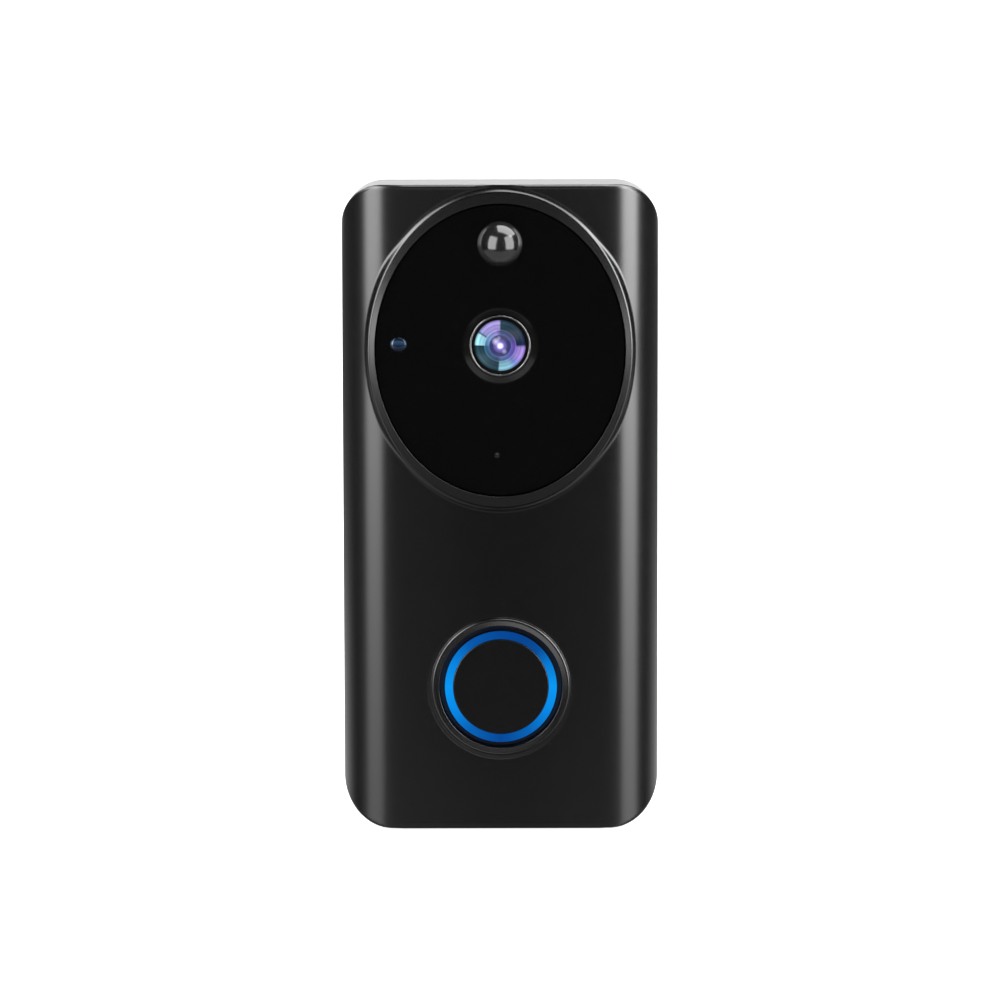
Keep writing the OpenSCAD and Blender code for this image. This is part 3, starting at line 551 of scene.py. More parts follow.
def build_sensor_window(material):
    """Small oval window with a softly domed face."""
    low, high = span("sensor_window")
    centre = ((low[0] + high[0]) / 2, (low[2] + high[2]) / 2)
    lip = 0.4
    a, b = (high[0] - low[0]) / 2 - lip - 0.15, (high[2] - low[2]) / 2 - lip
    face_y = GLASS_Y - 0.25
    corners = [[0.01, 0.01, high[1]], [a + lip, b + lip, high[1]], [a + lip, b + lip, FLANGE_Y],
               [a, b, FLANGE_Y], [a, b, GLASS_Y + 0.05], [a * 0.6, b * 0.55, face_y], [0, 0, face_y]]
    path = rounded_path(corners, [0, 0.05, 0.05, 0, 0.25, 0.5, 0], 8)
    window = oval_object("sensor_window_lens", path, centre, material, 128)
    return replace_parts(window, "sensor_window")


def build_trim(material):
    """Thin metal ring round the lens, on a flange behind the glass."""
    back, front = trim_high[1], GLASS_Y - 0.35
    path = [[TRIM_FLANGE, back], [TRIM_FLANGE, FLANGE_Y], [TRIM_OUT, FLANGE_Y], [TRIM_OUT, front],
            [TRIM_IN, front], [TRIM_IN, back], [TRIM_FLANGE, back]]
    radii = [0, 0.1, 0, 0.12, 0.12, 0, 0]
    ring = turned_object("lens_trim", path, radii, (0, LENS_Z), material, 256, 6)
    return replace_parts(ring, "lens_trim_ring")


def build_cap(material):
    """The button's cap: a face with a skirt, and the stem under it."""
    back = cap_high[1]
    skirt = light_high[1]
    inner_r, inner_y = CAP_R - CAP_WALL, CAP_Y + 1.7
    path = [[inner_r, skirt], [CAP_R, skirt], [CAP_R, CAP_Y], [0.0, CAP_Y]]
    top = turned_object("button_cap_face", path, [0, 0, 0.3, 0], (0, BUTTON_Z), material, 256, 8)
    path = [[0.0, back], [STEM_R, back], [STEM_R, inner_y], [inner_r, inner_y], [inner_r, skirt]]
    under = turned_object("button_cap_stem", path, [0, 0.1, 0.3, 0.3, 0], (0, BUTTON_Z), material, 128, 4)
    return [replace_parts(top, "button_cap"), under]


def build_light_ring(material):
    """The lit ring about the cap, with the flange that keeps it in the shell."""
    inner, back = CAP_R + 0.05, light_high[1]
    path = [[inner, back], [LIGHT_FLANGE, back], [LIGHT_FLANGE, LIGHT_STEP_Y], [LIGHT_R, LIGHT_STEP_Y],
            [LIGHT_R, CAP_Y], [inner, CAP_Y], [inner, back]]
    radii = [0, 0.05, 0.05, 0, 0.15, 0.05, 0]
    ring = turned_object("button_light_band", path, radii, (0, BUTTON_Z), material, 256, 8)
    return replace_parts(ring, "button_light_ring")


def build_seal(material):
    """Soft ring behind the button, with a groove on each side."""
    front, back = seal_low[1], seal_high[1]
    middle = (front + back) / 2
    low, high, groove = middle - 0.3, middle + 0.3, 0.1
    path = [[SEAL_IN, back], [SEAL_OUT, back], [SEAL_OUT, high], [SEAL_OUT - groove, middle], [SEAL_OUT, low],
            [SEAL_OUT, front], [SEAL_IN, front], [SEAL_IN, low], [SEAL_IN + groove, middle], [SEAL_IN, high],
            [SEAL_IN, back]]
    radii = [0] + [0.1] * 9 + [0]
    ring = turned_object("button_seal_ring", path, radii, (0, BUTTON_Z), material, 128, 3)
    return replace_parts(ring, "button_seal")


# ---- materials -----------------------------------------------------------

FINE = 0.00003
COARSE = 0.0001


def new_material(name):
    """A new material, its node tree and its shader."""
    material = bpy.data.materials.new(name)
    material.use_nodes = True
    tree = material.node_tree
    return material, tree, tree.nodes["Principled BSDF"]


def set_values(shader, **values):
    """Sets constant inputs; an underscore in a name stands for a space."""
    for name, value in values.items():
        shader.inputs[name.replace("_", " ")].default_value = value


def object_place(tree):
    return tree.nodes.new("ShaderNodeTexCoord").outputs["Object"]


def noise(tree, place, scale, detail=3.0, stretch=None):
    """Cloudy value between 0 and 1, at a scale in cells per metre."""
    source = place
    if stretch is not None:
        mapping = tree.nodes.new("ShaderNodeMapping")
        mapping.inputs["Scale"].default_value = stretch
        tree.links.new(place, mapping.inputs["Vector"])
        source = mapping.outputs["Vector"]
    node = tree.nodes.new("ShaderNodeTexNoise")
    node.inputs["Scale"].default_value = scale
    node.inputs["Detail"].default_value = detail
    tree.links.new(source, node.inputs["Vector"])
    return node.outputs["Fac"]


def ramp(tree, value, low, high, start=0.0, end=1.0):
    """Turns start..end into low..high, held at its ends."""
    node = tree.nodes.new("ShaderNodeMapRange")
    node.inputs["From Min"].default_value = start
    node.inputs["From Max"].default_value = end
    node.inputs["To Min"].default_value = low
    node.inputs["To Max"].default_value = high
    tree.links.new(value, node.inputs["Value"])
    return node.outputs["Result"]


def bump(tree, shader, height, strength, distance):
    node = tree.nodes.new("ShaderNodeBump")
    node.inputs["Strength"].default_value = strength
    node.inputs["Distance"].default_value = distance
    tree.links.new(height, node.inputs["Height"])
    tree.links.new(node.outputs["Normal"], shader.inputs["Normal"])


def mix_colour(tree, share, first, second):
    node = tree.nodes.new("ShaderNodeMix")
    node.data_type = "RGBA"
    tree.links.new(share, node.inputs["Factor"])
    for name, value in (("A", first), ("B", second)):
        socket = [s for s in node.inputs if s.name == name and s.type == "RGBA"][0]
        if isinstance(value, (tuple, list)):
            socket.default_value = (*value, 1)
        else:
            tree.links.new(value, socket)
    return [s for s in node.outputs if s.type == "RGBA"][0]


def scaled(tree, colour, share):
    node = tree.nodes.new("ShaderNodeVectorMath")
    node.operation = "SCALE"
    tree.links.new(colour, node.inputs[0])
    tree.links.new(share, node.inputs["Scale"])
    return node.outputs["Vector"]


def between(tree, share, first, second, shader):
    """Base colour that goes from one colour to another with a share."""
    tree.links.new(mix_colour(tree, share, first, second), shader.inputs["Base Color"])


def times(colour, factor):
    return tuple(c * factor for c in colour)


def paler(colour, factor):
    """A lighter colour, kept within white."""
    return tuple(min(1, c * factor + 0.01) for c in colour)


def maths(tree, operation, first, second=None):
    node = tree.nodes.new("ShaderNodeMath")
    node.operation = operation
    for socket, value in zip(node.inputs, (first, second)):
        if value is None:
            continue
        if isinstance(value, (int, float)):
            socket.default_value = value
        else:
            tree.links.new(value, socket)
    return node.outputs["Value"]


def moulded(name, colour, rough, grain=0.02, scale=9000, level=0.5):
    """Moulded plastic: even colour, slightly uneven gloss and a very fine texture."""
    material, tree, shader = new_material(name)
    place = object_place(tree)
    between(tree, noise(tree, place, 60, 4), times(colour, 0.92), times(colour, 1.08), shader)
    gloss = ramp(tree, noise(tree, place, 400, 3), rough * 0.93, rough * 1.07)
    tree.links.new(gloss, shader.inputs["Roughness"])
    if grain:
        bump(tree, shader, noise(tree, place, scale, 2), grain, FINE)
    set_values(shader, Specular_IOR_Level=level)
    return material


def case_plastic_with_painted_sheen(name, middle, side, rough):
    """Black case plastic, a little paler towards its sides: painted sheen standing for the side lights, more
    so at the left.
    """
    material = moulded(name, middle, rough, 0.04, 9000)
    tree, shader = material.node_tree, material.node_tree.nodes["Principled BSDF"]
    parts = tree.nodes.new("ShaderNodeSeparateXYZ")
    tree.links.new(object_place(tree), parts.inputs["Vector"])
    # painted sheen: the base colour turns paler towards the left and right sides, stronger at the left
    left = ramp(tree, parts.outputs["X"], 1.0, 0.0, -0.023, -0.003)
    right = ramp(tree, parts.outputs["X"], 0.0, 0.7, 0.005, 0.023)
    tone = mix_colour(tree, maths(tree, "ADD", left, right), middle, side)
    cloud = ramp(tree, noise(tree, object_place(tree), 60, 4), 0.93, 1.07)
    tree.links.new(scaled(tree, tone, cloud), shader.inputs["Base Color"])
    return material


def metal(name, colour, rough):
    """Metal with fine drawn lines."""
    material, tree, shader = new_material(name)
    lines = noise(tree, object_place(tree), 1500, 4, (1, 1, 12))
    between(tree, lines, times(colour, 0.85), colour, shader)
    tree.links.new(ramp(tree, lines, rough * 0.7, rough * 1.4), shader.inputs["Roughness"])
    set_values(shader, Metallic=1.0)
    bump(tree, shader, lines, 0.05, 0.00002)
    return material


def rubber(name, colour, rough=0.75):
    """Matt rubber, foam or paper with a dusty colour."""
    material, tree, shader = new_material(name)
    place = object_place(tree)
    between(tree, noise(tree, place, 900, 5), colour, paler(colour, 1.5), shader)
    set_values(shader, Roughness=rough)
    bump(tree, shader, noise(tree, place, 5000, 3), 0.15, FINE)
    return material


def board(name, colour):
    """Circuit board: solder mask over faint copper lanes, with small plated holes."""
    material, tree, shader = new_material(name)
    place = object_place(tree)
    cells = tree.nodes.new("ShaderNodeTexVoronoi")
    cells.inputs["Scale"].default_value = 700
    cells.feature = "DISTANCE_TO_EDGE"
    tree.links.new(place, cells.inputs["Vector"])
    lanes = ramp(tree, cells.outputs["Distance"], 1.0, 0.0, 0.02, 0.12)
    dots = tree.nodes.new("ShaderNodeTexVoronoi")
    dots.inputs["Scale"].default_value = 450
    tree.links.new(place, dots.inputs["Vector"])
    spots = maths(tree, "LESS_THAN", dots.outputs["Distance"], 0.12)
    plated = (0.55, 0.42, 0.2)
    between(tree, spots, mix_colour(tree, lanes, colour, paler(colour, 1.9)), plated, shader)
    set_values(shader, Roughness=0.35)
    bump(tree, shader, lanes, 0.2, FINE)
    return material


def cloth(name, colour):
    """Fine woven acoustic mesh."""
    material, tree, shader = new_material(name)
    place = object_place(tree)
    weave = []
    for direction in ("X", "Y"):
        wave = tree.nodes.new("ShaderNodeTexWave")
        wave.bands_direction = direction
        wave.inputs["Scale"].default_value = 900
        tree.links.new(place, wave.inputs["Vector"])
        weave.append(wave.outputs["Fac"])
    height = maths(tree, "MAXIMUM", weave[0], weave[1])
    between(tree, height, times(colour, 0.3), colour, shader)
    set_values(shader, Roughness=0.9)
    bump(tree, shader, height, 0.6, COARSE)
    return material


def clear_resin(name, colour, rough=0.12):
    """Tinted see-through resin or glass."""
    material, tree, shader = new_material(name)
    cloud = noise(tree, object_place(tree), 800, 3)
    between(tree, cloud, times(colour, 0.8), colour, shader)
    tree.links.new(ramp(tree, cloud, rough * 0.8, rough * 1.3), shader.inputs["Roughness"])
    set_values(shader, Transmission_Weight=0.35, Coat_Weight=0.5, Coat_Roughness=0.05)
    return material


def window_glass(name):
    """Black-backed glass, less glossy on the dished ring about the lens, where a greyer painted reflection
    lies, brightest towards the bottom.
    """
    material, tree, shader = new_material(name)
    place = object_place(tree)
    haze = noise(tree, place, 120, 5)
    black = mix_colour(tree, haze, (0.0019, 0.0019, 0.0020), (0.0023, 0.0023, 0.0024))
    radius, angle = polar(tree, place, 0, LENS_Z * MM)
    # painted reflection: a paler grey ring about the lens
    painted_halo = colour_ramp(tree, ramp(tree, radius, 0.0, 1.0, 0.0047, 0.0082), [
        (0.0, (0, 0, 0)), (0.30, (0, 0, 0)), (0.36, (1, 1, 1)), (0.75, (0.6, 0.6, 0.6)), (1.0, (0, 0, 0))])
    # the painted reflection is strongest at the bottom of the ring and weakest at the top
    turn = maths(tree, "SINE", maths(tree, "MULTIPLY", angle, 2 * math.pi))
    low = ramp(tree, turn, 0.4, 1.0, -1.0, 1.0)
    between(tree, maths(tree, "MULTIPLY", painted_halo, low), black, (0.012, 0.0115, 0.011), shader)
    dim = maths(tree, "MULTIPLY", painted_halo, maths(tree, "SUBTRACT", 1.0, low))
    tree.links.new(ramp(tree, dim, 0.5, 0.05, 0.0, 0.4), shader.inputs["Specular IOR Level"])
    tree.links.new(ramp(tree, haze, 0.03, 0.06), shader.inputs["Roughness"])
    set_values(shader, IOR=1.45)
    return material


def polar(tree, place, centre_x, centre_z):
    """Distance from a centre in the front view, and the share of a full turn about it, from the left."""
    parts = tree.nodes.new("ShaderNodeSeparateXYZ")
    tree.links.new(place, parts.inputs["Vector"])
    x = maths(tree, "SUBTRACT", parts.outputs["X"], centre_x)
    z = maths(tree, "SUBTRACT", parts.outputs["Z"], centre_z)
    squares = maths(tree, "ADD", maths(tree, "MULTIPLY", x, x), maths(tree, "MULTIPLY", z, z))
    turn = maths(tree, "DIVIDE", maths(tree, "ARCTAN2", z, x), 2 * math.pi)
    return maths(tree, "SQRT", squares), maths(tree, "ADD", turn, 0.5)


def colour_ramp(tree, value, stops):
    """Colour that runs through stops, each a value and a colour."""
    node = tree.nodes.new("ShaderNodeValToRGB")
    elements = node.color_ramp.elements
    while len(elements) < len(stops):
        elements.new(0.5)
    for element, (at, colour) in zip(elements, stops):
        element.position = at
        element.color = (*colour, 1)
    tree.links.new(value, node.inputs["Fac"])
    return node.outputs["Color"]


def lens_coating(name):
    """Coated lens with painted reflections: violet and teal rings and wedges of violet and cyan about them, a
    painted pale glare at the centre, painted glints, and the colour also given off as painted glow.
    """
    material, tree, shader = new_material(name)
    place = object_place(tree)
    radius, angle = polar(tree, place, 0, LENS_Z * MM)
    r = maths(tree, "DIVIDE", radius, LENS_R * MM)
    teal, navy = (0.012, 0.034, 0.048), (0.010, 0.018, 0.05)
    cyan, violet, rose = (0.25, 0.5, 0.6), (0.26, 0.18, 0.5), (0.3, 0.25, 0.56)
    sea = (0.16, 0.34, 0.42)
    # painted reflections: coloured wedges about the lens's axis
    wedges = colour_ramp(tree, angle, [
        (0.0, teal), (0.10, (0.022, 0.06, 0.083)), (0.2, teal), (0.235, teal), (0.245, sea), (0.315, sea),
        (0.36, (0.12, 0.16, 0.42)), (0.42, violet), (0.485, violet), (0.505, navy),
        (0.62, (0.015, 0.03, 0.05)), (0.745, (0.02, 0.05, 0.07)), (0.755, rose), (0.84, rose),
        (0.9, (0.2, 0.22, 0.45)), (0.912, teal), (0.92, cyan), (0.995, (0.3, 0.62, 0.72)), (1.0, teal)])
    middle = colour_ramp(tree, angle, [
        (0.0, (0.03, 0.09, 0.15)), (0.22, (0.02, 0.04, 0.09)), (0.26, (0.05, 0.1, 0.2)),
        (0.4, (0.07, 0.06, 0.26)), (0.5, (0.09, 0.06, 0.26)), (0.62, (0.03, 0.04, 0.11)),
        (0.74, (0.03, 0.05, 0.12)), (0.8, (0.2, 0.16, 0.42)), (0.92, (0.1, 0.2, 0.36)),
        (1.0, (0.06, 0.14, 0.24))])
    # painted glare: a pale centre that fades outwards
    painted_glare_core = colour_ramp(tree, r, [
        (0.0, (0.9, 0.86, 1.0)), (0.08, (0.66, 0.62, 0.95)), (0.15, (0.14, 0.12, 0.38)),
        (0.3, (0.032, 0.028, 0.10)), (0.42, (0.026, 0.034, 0.11)), (1.0, (0.04, 0.04, 0.12))])
    tone = mix_colour(tree, ramp(tree, r, 0.0, 1.0, 0.42, 0.47), painted_glare_core, middle)
    tone = mix_colour(tree, ramp(tree, r, 0.0, 1.0, 0.60, 0.66), tone, wedges)
    grey = [(0.0, 1.0), (0.40, 0.9), (0.435, 1.9), (0.47, 1.0), (0.57, 0.7), (0.61, 1.5), (0.65, 0.6),
            (0.76, 0.85), (0.80, 0.66), (0.84, 0.95), (0.90, 1.2), (0.93, 0.9), (0.965, 0.75), (1.0, 0.25)]
    rings = colour_ramp(tree, r, [(at, (v / 2, v / 2, v / 2)) for at, v in grey])
    tone = scaled(tree, tone, maths(tree, "MULTIPLY", rings, 2.0))
    # painted glints: pale spots of reflected light on the lens face
    painted_glints = (((-0.17, 0.17), 0.17, 0.55), ((0.16, -0.22), 0.12, 0.3), ((-0.05, 0.30), 0.1, 0.25))
    for (flare_x, flare_z), size, strength in painted_glints:
        near = polar(tree, place, flare_x * LENS_R * MM, (LENS_Z + flare_z * LENS_R) * MM)[0]
        spot = ramp(tree, near, strength, 0.0, 0.0, size * LENS_R * MM)
        tone = mix_colour(tree, spot, tone, (0.75, 0.72, 1.0))
    cloud = ramp(tree, noise(tree, place, 900, 3), 0.88, 1.12)
    tone = scaled(tree, tone, cloud)
    # painted glow: the same colour is also emitted, though the lens is no lamp
    tree.links.new(tone, shader.inputs["Base Color"])
    tree.links.new(tone, shader.inputs["Emission Color"])
    set_values(shader, Roughness=0.06, IOR=1.5, Emission_Strength=0.42)
    return material


def window_tint(name):
    """Blue smoked window with painted light: a lighter level stripe of painted reflection across a dark oval,
    paler towards its ends as painted highlights, all given off as painted glow.
    """
    material, tree, shader = new_material(name)
    low, high = span("sensor_window")
    place = object_place(tree)
    parts = tree.nodes.new("ShaderNodeSeparateXYZ")
    tree.links.new(place, parts.inputs["Vector"])
    middle_x, middle_z = (low[0] + high[0]) / 2 * MM, (low[2] + high[2]) / 2 * MM
    height = ramp(tree, maths(tree, "SUBTRACT", parts.outputs["Z"], middle_z), 0.0, 1.0, -0.0014, 0.0014)
    # painted reflection: a lighter level stripe across the window
    painted_reflection_band = colour_ramp(tree, height, [
        (0.0, (0.004, 0.006, 0.010)), (0.25, (0.005, 0.009, 0.020)), (0.42, (0.005, 0.014, 0.032)),
        (0.52, (0.010, 0.034, 0.078)), (0.68, (0.012, 0.042, 0.092)), (0.8, (0.004, 0.014, 0.034)),
        (1.0, (0.002, 0.005, 0.010))])
    # painted highlights: paler towards the left and right ends
    side = maths(tree, "ABSOLUTE", maths(tree, "SUBTRACT", parts.outputs["X"], middle_x))
    ends = ramp(tree, side, 0.0, 0.5, 0.00125, 0.00165)
    tone = mix_colour(tree, ends, painted_reflection_band, (0.03, 0.05, 0.075))
    tone = scaled(tree, tone, ramp(tree, noise(tree, place, 1200, 2), 0.9, 1.1))
    # painted glow: the window's colour is emitted, though it is no lamp
    tree.links.new(tone, shader.inputs["Emission Color"])
    set_values(shader, Base_Color=(0.001, 0.002, 0.004, 1), Roughness=0.12, Emission_Strength=1.25)
    return material


def lit_ring(name):
    """Light guide with a lit face: brighter at the left and right, deeper blue at the top and bottom."""
    material, tree, shader = new_material(name)
    place = object_place(tree)
    angle = polar(tree, place, 0, BUTTON_Z * MM)[1]
    deep, bright = (0.0006, 0.062, 0.30), (0.0015, 0.31, 0.90)
    tone = colour_ramp(tree, angle, [
        (0.0, bright), (0.07, (0.0012, 0.25, 0.8)), (0.15, (0.001, 0.12, 0.47)), (0.25, deep),
        (0.34, (0.001, 0.12, 0.46)), (0.43, (0.0012, 0.25, 0.8)), (0.5, bright),
        (0.57, (0.0012, 0.19, 0.64)), (0.625, (0.001, 0.07, 0.30)), (0.68, (0.001, 0.055, 0.27)),
        (0.75, deep), (0.85, (0.001, 0.095, 0.40)), (0.93, (0.0012, 0.23, 0.75)), (1.0, bright)])
    tone = scaled(tree, tone, ramp(tree, noise(tree, place, 600, 2), 0.96, 1.04))
    parts = tree.nodes.new("ShaderNodeSeparateXYZ")
    tree.links.new(place, parts.inputs["Vector"])
    lit = ramp(tree, parts.outputs["Y"], 1.0, 0.02, (CAP_Y + 0.15) * MM, (CAP_Y + 0.5) * MM)
    tree.links.new(scaled(tree, tone, lit), shader.inputs["Emission Color"])
    between(tree, lit, (0.026, 0.026, 0.028), (0.0, 0.003, 0.01), shader)
    set_values(shader, Emission_Strength=1.0, Roughness=0.4, Specular_IOR_Level=0.02)
    return material


def cell_wrap(name, colour):
    """Shrink-wrapped cell: satin sleeve with faint lengthwise creases."""
    material, tree, shader = new_material(name)
    creases = noise(tree, object_place(tree), 300, 3, (6, 6, 0.4))
    between(tree, creases, times(colour, 0.85), colour, shader)
    set_values(shader, Roughness=0.3, Coat_Weight=0.3)
    bump(tree, shader, creases, 0.1, COARSE)
    return material


def slot_materials():
    """One material for each slot, with the record's colours or colours darkened for this light."""
    colour = {m["slot"]: tuple(m["base_color"][:3]) for m in frame["record"]["materials"]}
    made = {}
    deep_black, soft_black = (0.0020, 0.0020, 0.0021), (0.012, 0.012, 0.012)
    # the second colour is the painted sheen's paler tone at the case's sides
    made["case_black"] = case_plastic_with_painted_sheen("case_black_plastic_painted_sheen", deep_black, (0.0052, 0.0053, 0.0055), 0.25)
    made["ring_black"] = moulded("ring_black_plastic", (0.0016, 0.0016, 0.0017), 0.25, 0.0)
    made["bracket_black"] = moulded("bracket_black_plastic", (0.012, 0.012, 0.0125), 0.5, 0.2, 5000)
    made["window_gloss"] = window_glass("window_gloss_glass")
    made["dome_dark"] = moulded("dome_dark_plastic", (0.0045, 0.0045, 0.0047), 0.15, 0.0)
    made["lens_coating"] = lens_coating("lens_coating_painted_reflections")
    made["trim_metal"] = metal("trim_metal_ring", (0.40, 0.40, 0.41), 0.24)
    made["lens_black"] = moulded("lens_black_plastic", (0.0006, 0.0006, 0.0007), 0.7, 0.1, level=0.08)
    made["window_blue"] = window_tint("window_blue_plastic")
    made["cap_black"] = moulded("cap_black_plastic", deep_black, 0.24, 0.03, 12000)
    made["lit_blue"] = lit_ring("lit_blue_guide")
    made["rubber_black"] = rubber("rubber_black_moulded", soft_black)
    for slot, finish, rough in (("steel", "plated", 0.3), ("nickel", "plated", 0.22),
                                ("brass", "turned", 0.25)):
        made[slot] = metal(f"{slot}_{finish}", colour[slot], rough)
    for slot, finish, rough in (("silicone", "moulded", 0.5), ("foam_tape", "black", 0.9),
                                ("cable_grey", "jacket", 0.5), ("cone_grey", "paper", 0.9)):
        made[slot] = rubber(f"{slot}_{finish}", colour[slot], rough)
    made["board_green"] = board("board_green_mask", colour["board_green"])
    made["board_black"] = board("board_black_mask", colour["board_black"])
    made["chip_black"] = moulded("chip_black_epoxy", colour["chip_black"], 0.5, 0.3, 6000)
    made["filter_tint"] = clear_resin("filter_tint_glass", colour["filter_tint"], 0.05)
    made["led_clear"] = clear_resin("led_clear_resin", colour["led_clear"])
    made["white_plastic"] = moulded("white_moulded_plastic", colour["white_plastic"], 0.4, 0.1)
    made["flex_amber"] = cell_wrap("flex_amber_film", colour["flex_amber"])
    made["speaker_black"] = moulded("speaker_black_plastic", soft_black, 0.5, 0.2)
    made["mesh_cloth"] = cloth("mesh_cloth_black", colour["mesh_cloth"])
    made["tray_grey"] = moulded("tray_grey_plastic", colour["tray_grey"], 0.45, 0.2)
    made["cell_wrap"] = cell_wrap("cell_wrap_sleeve", colour["cell_wrap"])
    return made


# ---- the object ----------------------------------------------------------


def dress(materials):
    """Gives every CAD node its slot's material."""
    for part in frame["record"]["subparts"]:
        node = frame["nodes"][part["node"]]
        node.data.materials.clear()
        node.data.materials.append(materials[part["material_slot"]])


def fit(objs, body):
    """Ties pieces to their body."""
    for obj in objs if isinstance(objs, list) else [objs]:
        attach(obj, body)


def build(materials):
    """Builds every piece. The dome and the bezel are returned, for the lights that reach only them."""
    dress(materials)
    shell = build_front_shell(materials["case_black"])
    fit(shell, "bell")
    fit(build_head_ring(materials["ring_black"]), "bell")
    dome = build_dome(materials["dome_dark"])
    fit(dome, "bell")
    fit(build_sensor_window(materials["window_blue"]), "bell")
    fit(build_lens(materials["lens_coating"]), "bell")
    fit(build_trim(materials["trim_metal"]), "bell")
    fit(build_cap(materials["cap_black"]), "button")
    fit(build_light_ring(materials["lit_blue"]), "button")
    seal = build_seal(materials["silicone"])
    fit(seal, "bell")
    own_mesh(seal)
    return dome, shell[-1]


# ---- studio --------------------------------------------------------------

ROOM_R = 1.1


def glow_material(name):
    """Light that follows the mesh's own level, so a panel can fade towards its edges."""
    material = bpy.data.materials.new(name)
    material.use_nodes = True
    tree = material.node_tree
    tree.nodes.clear()
    out = tree.nodes.new("ShaderNodeOutputMaterial")
    glow = tree.nodes.new("ShaderNodeEmission")
    glow.inputs["Color"].default_value = (1, 1, 1, 1)
    read = tree.nodes.new("ShaderNodeAttribute")
    read.attribute_name = "level"
    tree.links.new(read.outputs["Fac"], glow.inputs["Strength"])
    tree.links.new(glow.outputs["Emission"], out.inputs["Surface"])
    return material


def fade(share, soft):
    """0 below zero, rising smoothly to 1 at the soft width."""
    t = np.clip(share / max(soft, 1e-6), 0, 1)
    return t * t * (3 - 2 * t)


def box(value, low, high, low_soft, high_soft):
    """1 between low and high, fading to 0 within the soft widths inside them."""
    return fade(value - low, low_soft) * fade(high - value, high_soft)


def direction(azimuth, elevation):
    """Unit vectors from the azimuth, counted from the front, and the elevation, both in degrees."""
    a, e = np.radians(azimuth), np.radians(elevation)
    return np.stack([np.sin(a) * np.cos(e), -np.cos(a) * np.cos(e), np.sin(e)], -1)


def room_levels(azimuth, elevation):
    """Brightness of the studio in each direction, in degrees: side panels, corners, floor and back wall."""
    x, y, z = np.moveaxis(direction(azimuth, elevation), -1, 0)
    height = ROOM_R * z
    swing = np.degrees(np.arctan2(z, x)) % 360
    lean = np.degrees(np.arccos(np.clip(-y, -1, 1)))
    level = np.full(azimuth.shape, 0.03)
    tall = np.interp(height, [-1.1, -0.45, -0.27, -0.2, -0.155, -0.113, 0.01, 0.04],
                     [0.055, 0.095, 0.135, 0.18, 0.24, 0.34, 0.88, 1.12]) * fade(48 - elevation, 8)
    level += 9.7 * tall * box(-azimuth, 43, 81, 3, 10)
    level += 14.0 * tall * box(azimuth, 49, 86, 3, 9)
    level += 8.0 * box(swing, 30, 98, 10, 8) * box(lean, 66, 128, 8, 16)
    level += 8.5 * box(swing, 114, 152, 8, 10) * box(lean, 66, 128, 8, 16)
    front = np.interp(elevation, [-90, -70, -40, -30, -17, -13], [0.4, 0.06, 0.06, 0.3, 0.55, 0.0])
    level += front * fade(100 - np.abs(azimuth), 20)
    behind = np.interp(height, [-1.1, -0.5, -0.24, -0.2, -0.155, -0.11, 0.015, 0.06],
                       [0.4, 0.6, 0.8, 0.68, 0.36, 0.15, 0.06, 0.0])
    level += behind * fade(np.abs(azimuth) - 100, 36)
    level += 1.7 * fade(np.abs(azimuth) - 145, 10) * box(elevation, 1.5, 20, 1.5, 5)
    level += 0.8 * fade(35 - np.abs(azimuth), 10) * box(elevation, 4, 24, 3, 8)
    return level


def room(receivers, step=2.5):
    """A ball of light around the doorbell with the studio's panels on it. The camera doesn't see it."""
    azimuths = np.linspace(-180, 180, int(360 / step) + 1)
    elevations = np.linspace(-90, 90, int(180 / step) + 1)
    azimuth, elevation = np.meshgrid(azimuths, elevations)
    rows, columns = azimuth.shape
    faces = [[r * columns + c, r * columns + c + 1, (r + 1) * columns + c + 1, (r + 1) * columns + c]
             for r in range(rows - 1) for c in range(columns - 1)]
    points = ROOM_R * direction(azimuth, elevation)
    obj = mesh_object("studio_room", points.reshape(-1, 3), faces)
    level = obj.data.attributes.new("level", "FLOAT", "POINT")
    level.data.foreach_set("value", room_levels(azimuth, elevation).ravel().astype(np.float32))
    obj.data.materials.append(glow_material("studio_room_glow"))
    obj.visible_camera = False
    obj.visible_diffuse = False
    obj.light_linking.receiver_collection = receivers


def area_light(name, centre, swing, lean, half_wide, half_high, level, receivers, distance=0.6):
    """Flat light seen from a centre. Swing is its turn about the front axis, lean its angle from it."""
    t, b = math.radians(swing), math.radians(lean)
    towards = Vector((math.sin(b) * math.cos(t), -math.cos(b), math.sin(b) * math.sin(t)))
    wide = 2 * distance * math.tan(math.radians(half_wide))
    high = 2 * distance * math.tan(math.radians(half_high))
    data = bpy.data.lights.new(name, "AREA")
    data.shape = "RECTANGLE"
    data.size, data.size_y = wide, high
    data.energy = level * math.pi * wide * high
    obj = bpy.data.objects.new(name, data)
    obj.location = Vector(centre) + towards * distance
    across = Vector((-math.sin(t), 0.0, math.cos(t)))
    upward = towards.cross(across)
    obj.rotation_euler = Matrix((across, upward, towards)).transposed().to_euler()
    bpy.context.scene.collection.objects.link(obj)
    obj.visible_camera = False
    obj.light_linking.receiver_collection = receivers


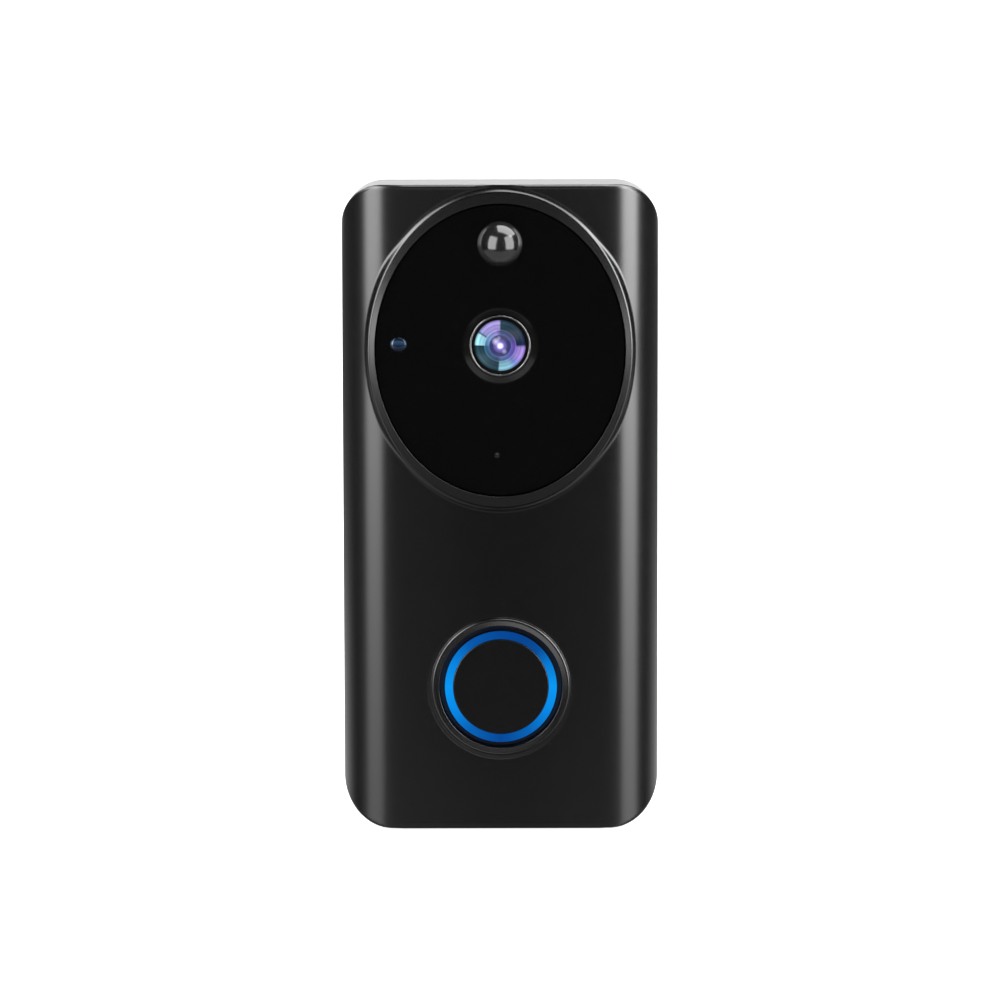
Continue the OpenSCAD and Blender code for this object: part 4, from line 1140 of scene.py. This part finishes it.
def backdrop():
    """Pale floor that curves up into a pale wall."""
    bottom = -HALF_H * MM - 0.0005
    depth, radius, height, half = 1.2, 0.6, 3.0, 4.0
    profile = [(-3.0, bottom), (depth, bottom)]
    for t in np.linspace(0, np.pi / 2, 24)[1:]:
        profile.append((depth + radius * math.sin(t), bottom + radius * (1 - math.cos(t))))
    profile.append((depth + radius, bottom + height))
    points = [(x, y, z) for y, z in profile for x in (-half, half)]
    faces = [[2 * k, 2 * k + 1, 2 * k + 3, 2 * k + 2] for k in range(len(profile) - 1)]
    obj = mesh_object("studio_floor", points, faces)
    obj.data.shade_smooth()
    material, _, shader = new_material("studio_floor_paper")
    set_values(shader, Base_Color=(0.8, 0.8, 0.8, 1), Roughness=0.9, Emission_Color=(1, 1, 1, 1),
               Emission_Strength=1.0)
    obj.data.materials.append(material)
    obj.visible_glossy = False


def group(name, members, exclude=False):
    """Objects that a light reaches, or all but them."""
    collection = bpy.data.collections.new(name)
    for obj in members:
        collection.objects.link(obj)
    if exclude:
        for entry in collection.collection_objects:
            entry.light_linking.link_state = "EXCLUDE"
    return collection


def studio(dome, bezel):
    """Floor, lights and world. The dome has lights of its own, and one small light reaches only the bezel."""
    backdrop()
    room(group("all_but_dome", [dome], exclude=True))
    only = group("dome_only", [dome])
    top = (0.0, -0.034, PIR_Z * MM)
    area_light("dome_left", top, 171, 38, 29, 20, 9.0, only)
    area_light("dome_right", top, 8, 48, 29, 21, 9.0, only)
    area_light("dome_over", top, 66, 92, 34, 36, 9.5, only)
    area_light("dome_floor", top, 270, 90, 78, 55, 0.85, only, distance=0.45)
    area_light("dome_rim_left", top, 160, 148, 14, 12, 2.6, only)
    area_light("dome_rim_right", top, 15, 148, 14, 12, 3.0, only)
    low = (0, -0.032, BUTTON_Z * MM)
    area_light("bezel_low", low, 247, 24, 12, 9, 3.5, group("bezel_only", [bezel]))
    world = bpy.data.worlds.new("studio_world")
    bpy.context.scene.world = world
    world.use_nodes = True
    world.node_tree.nodes["Background"].inputs["Color"].default_value = (1, 1, 1, 1)
    world.node_tree.nodes["Background"].inputs["Strength"].default_value = 0.8


def camera():
    """A long lens on the middle of the front, a little above it."""
    data = bpy.data.cameras.new("photo_camera")
    data.sensor_width = 36.0
    data.lens = 167.7
    data.shift_x = -0.0005
    data.shift_y = 0.0053
    data.clip_start = 0.05
    obj = bpy.data.objects.new("photo_camera", data)
    place = Vector((0, -0.9956, 0.1073))
    aim = Vector((0, -0.0156, -0.00085))
    obj.location = place
    look = (aim - place).to_track_quat("-Z", "Y").to_matrix()
    obj.rotation_euler = (look @ Matrix.Rotation(math.radians(-0.12), 3, "Z")).to_euler()
    bpy.context.scene.collection.objects.link(obj)
    bpy.context.scene.camera = obj


materials = slot_materials()
studio(*build(materials))
camera()
bpy.context.scene.view_settings.view_transform = "Standard"
